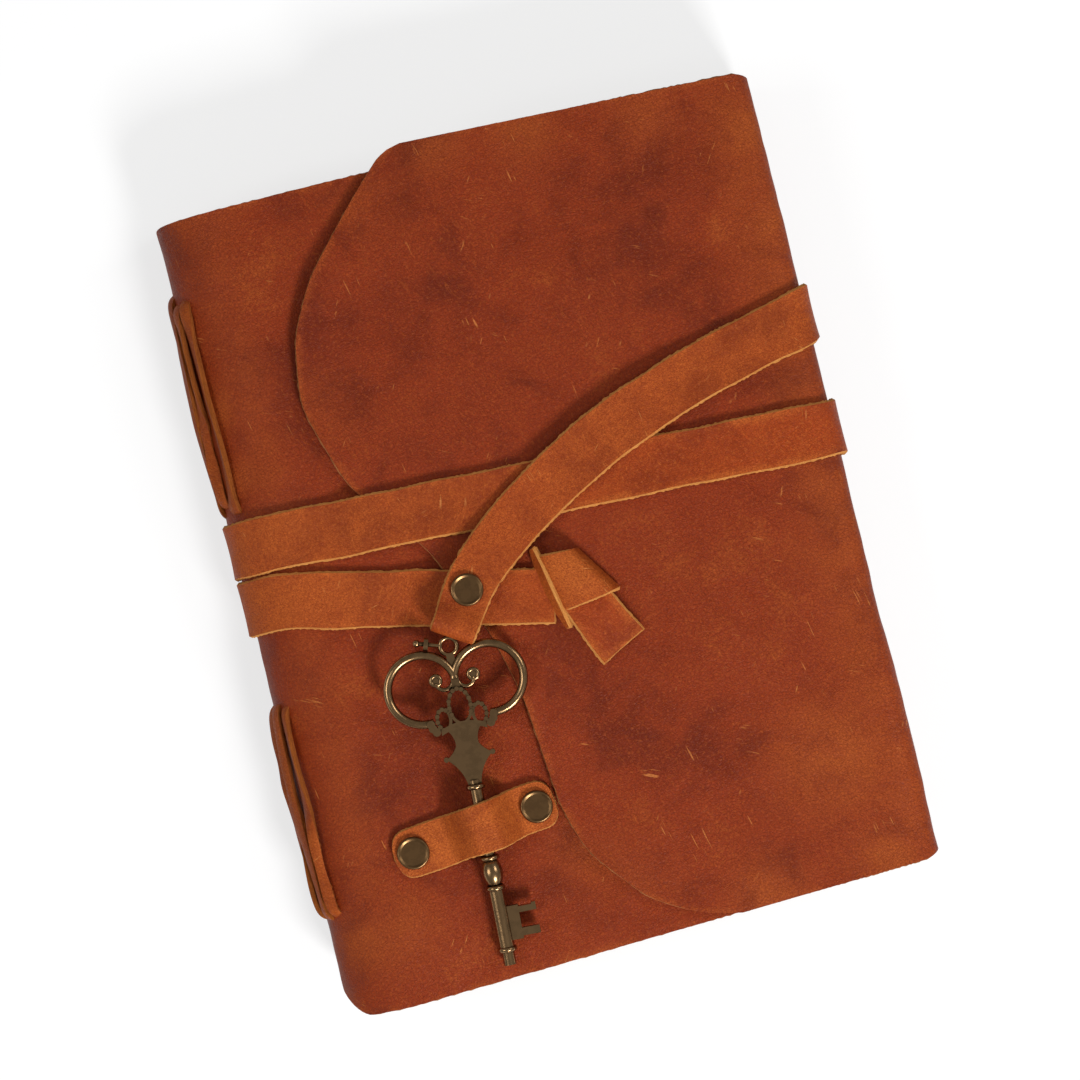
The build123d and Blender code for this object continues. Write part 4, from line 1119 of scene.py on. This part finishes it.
def folded_sheet(low, sheet, seed):
    """One folded sheet of a gathering whose underside is at low."""
    radius = GATHERING_THICKNESS / 2 - (sheet + 0.5) * LEAF
    center = low + GATHERING_THICKNESS / 2
    left = PAGE_LEFT + GATHERING_THICKNESS / 2 + FOLD_CLEARANCE
    run = np.concatenate([np.linspace(PAGE_RIGHT, FINE_X, 34)[:-1], np.linspace(FINE_X, left, 24)])
    lower = np.stack([run, np.full(run.shape, center - radius)], 1)
    upper = np.stack([run[::-1], np.full(run.shape, center + radius)], 1)
    fold = arc_points((left, center), radius, 270, 90, FOLD_POINT_STEP)
    line = np.concatenate([lower, fold[1:-1], upper])
    x, z = line[:, :1], line[:, 1:]
    y = crowded(PAPER_COLUMNS, PAPER_CROWDING)
    tear = np.stack([line[:, 0], np.arange(len(line)) * 0.7], 1)
    head = torn_half(tear, seed)[:, None]
    tail = torn_half(tear, seed + 2)[:, None]
    deckle = np.stack([y * PAGE_HALF, y * 0 + seed], 1)
    torn = 0.5 * np.abs(ripple(deckle, 6, seed + 4)) + 0.5 * np.abs(ripple(deckle, 30, seed + 5))
    press = 1 - PAPER_PRESS * (1 - smooth_step(x, PAGE_LEFT, PRESS_END_X))
    middle = np.zeros((len(line), len(y), 3))
    middle[..., 0] = x - smooth_step(x, DECKLE_START_X, PAGE_RIGHT) * torn
    middle[..., 1] = np.where(y < 0, tail, head) * y
    middle[..., 2] = PAPER_LOW + (z - PAPER_LOW) * press
    normal = section_normals(middle, -1)
    reach = reach_of(middle)
    flat = np.stack([reach, middle[..., 1], np.full(reach.shape, seed * 3.0)], -1)
    edge = np.minimum(PAGE_HALF - np.abs(middle[..., 1]), PAGE_RIGHT - middle[..., 0])
    return slab(middle, normal, flat, PAPER_THICKNESS, np.maximum(edge, 0), seed, fray=0.05)


def make_gathering(index):
    """Folded sheets of handmade paper with torn edges."""
    low = PAPER_LOW + index * GATHERING_PITCH
    sheets = [folded_sheet(low, sheet, 100 + index * SHEETS + sheet) for sheet in range(SHEETS)]
    thing = make_object(f"gathering_{index + 1}_sheets", join_parts(sheets), PAPER_SET)
    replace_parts(thing, f"signature_{index + 1}")
    if index:
        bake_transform(thing)
    else:
        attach(thing, "back")


# Everything

KNOT_PLAN = [(0, -5), (11, -28)]
PLAN_STEP = 1.0
RIVETS = (
    "keeper_rivet_left", "keeper_rivet_right", "strap_rivet",
    "keeper_rivet_back_left", "keeper_rivet_back_right", "strap_rivet_back",
)


def strap_plan():
    """Middle lines in plan of all that lies on the flap."""
    return np.concatenate([
        resample([KNOT_PLACE, (SPINE_X, LEFT_LOW_Y)], PLAN_STEP),
        resample([(FORE_X, RIGHT_LOW_Y), (SPINE_X, LEFT_HIGH_Y)], PLAN_STEP),
        tail_plan()[0][:, :2],
        resample(KNOT_PLAN, PLAN_STEP),
    ])


def paint(name, material):
    """Gives a carried node its material."""
    mesh = nodes[name].data
    mesh.materials.clear()
    mesh.materials.append(material)


make_cover()
make_flap(strap_plan())
make_strap()
make_strap_tail()
make_knot()
make_keeper()
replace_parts(make_lacing("lacing_head_thongs", 1, 81), "lacing_head")
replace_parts(make_lacing("lacing_tail_thongs", -1, 91), "lacing_tail")
for number in range(GATHERINGS):
    make_gathering(number)
for rivet in RIVETS:
    paint(rivet, BRASS)
paint("key", BRONZE)


# Floor, light and camera

FLOOR_HALF = 6.0
FLOOR_LEVEL = -0.0002
FLOOR_GREY = 0.36
FLOOR_GLOW = 0.66
SKY_LEVEL = 0.26

# Name, place, size and power of each lamp
LAMPS = (
    ("key_light", (0.28, -0.92, 0.84), 0.3, 13),
    ("left_light", (-0.75, 0.05, 0.95), 0.5, 3.2),
    ("right_light", (0.8, 0.15, 0.9), 0.4, 2.6),
)
LAMP_AIM = (0, 0, 0.02)

VIEW_WIDTH = 0.24445
VIEW_LEVEL = 0.030
VIEW_CENTER = (-0.0012, -0.0006)
VIEW_DISTANCE = 0.85
VIEW_TURN = -13.95
VIEW_END = 50
SENSOR = 36.0


def make_floor():
    """Pale table that looks white and keeps the diary's shadow."""
    g = Graph("table")
    path = g.tree.nodes.new("ShaderNodeLightPath")
    seen = g.larger(path.outputs["Is Camera Ray"], path.outputs["Is Glossy Ray"])
    seen = g.larger(seen, path.outputs["Is Transmission Ray"])
    material = g.finish(
        Base_Color=(FLOOR_GREY, FLOOR_GREY, FLOOR_GREY, 1), Roughness=0.9, Specular_IOR_Level=0.1,
        Emission_Color=(1, 1, 1, 1), Emission_Strength=g.times(seen, FLOOR_GLOW),
    )
    mesh = bpy.data.meshes.new("table")
    signs = ((-1, -1), (1, -1), (1, 1), (-1, 1))
    mesh.from_pydata([(x * FLOOR_HALF, y * FLOOR_HALF, 0) for x, y in signs], [], [(0, 1, 2, 3)])
    mesh.materials.append(material)
    floor = bpy.data.objects.new("table", mesh)
    floor.location.z = FLOOR_LEVEL
    bpy.context.scene.collection.objects.link(floor)


def make_lamp(name, place, size, power):
    """Soft square lamp that points at the diary."""
    lamp = bpy.data.lights.new(name, "AREA")
    lamp.shape = "SQUARE"
    lamp.size = size
    lamp.energy = power
    thing = bpy.data.objects.new(name, lamp)
    thing.location = place
    thing.rotation_mode = "QUATERNION"
    thing.rotation_quaternion = (Vector(LAMP_AIM) - Vector(place)).to_track_quat("-Z", "Y")
    bpy.context.scene.collection.objects.link(thing)


def make_world():
    """Even sky."""
    world = bpy.data.worlds.new("sky")
    world.use_nodes = True
    tree = world.node_tree
    tree.nodes.clear()
    sky = tree.nodes.new("ShaderNodeBackground")
    sky.inputs["Color"].default_value = (1, 1, 1, 1)
    sky.inputs["Strength"].default_value = SKY_LEVEL
    out = tree.nodes.new("ShaderNodeOutputWorld")
    tree.links.new(sky.outputs[0], out.inputs["Surface"])
    bpy.context.scene.world = world


def make_camera():
    """Long lens straight above, turned as the photograph is."""
    camera = bpy.data.cameras.new("camera")
    camera.sensor_width = SENSOR
    camera.lens = SENSOR * VIEW_DISTANCE / VIEW_WIDTH
    camera.clip_end = VIEW_END
    thing = bpy.data.objects.new("camera", camera)
    thing.location = (*VIEW_CENTER, VIEW_LEVEL + VIEW_DISTANCE)
    thing.rotation_euler = (0, 0, math.radians(VIEW_TURN))
    bpy.context.scene.collection.objects.link(thing)
    bpy.context.scene.camera = thing


make_floor()
make_world()
for lamp_values in LAMPS:
    make_lamp(*lamp_values)
make_camera()
bpy.context.scene.view_settings.view_transform = "Standard"
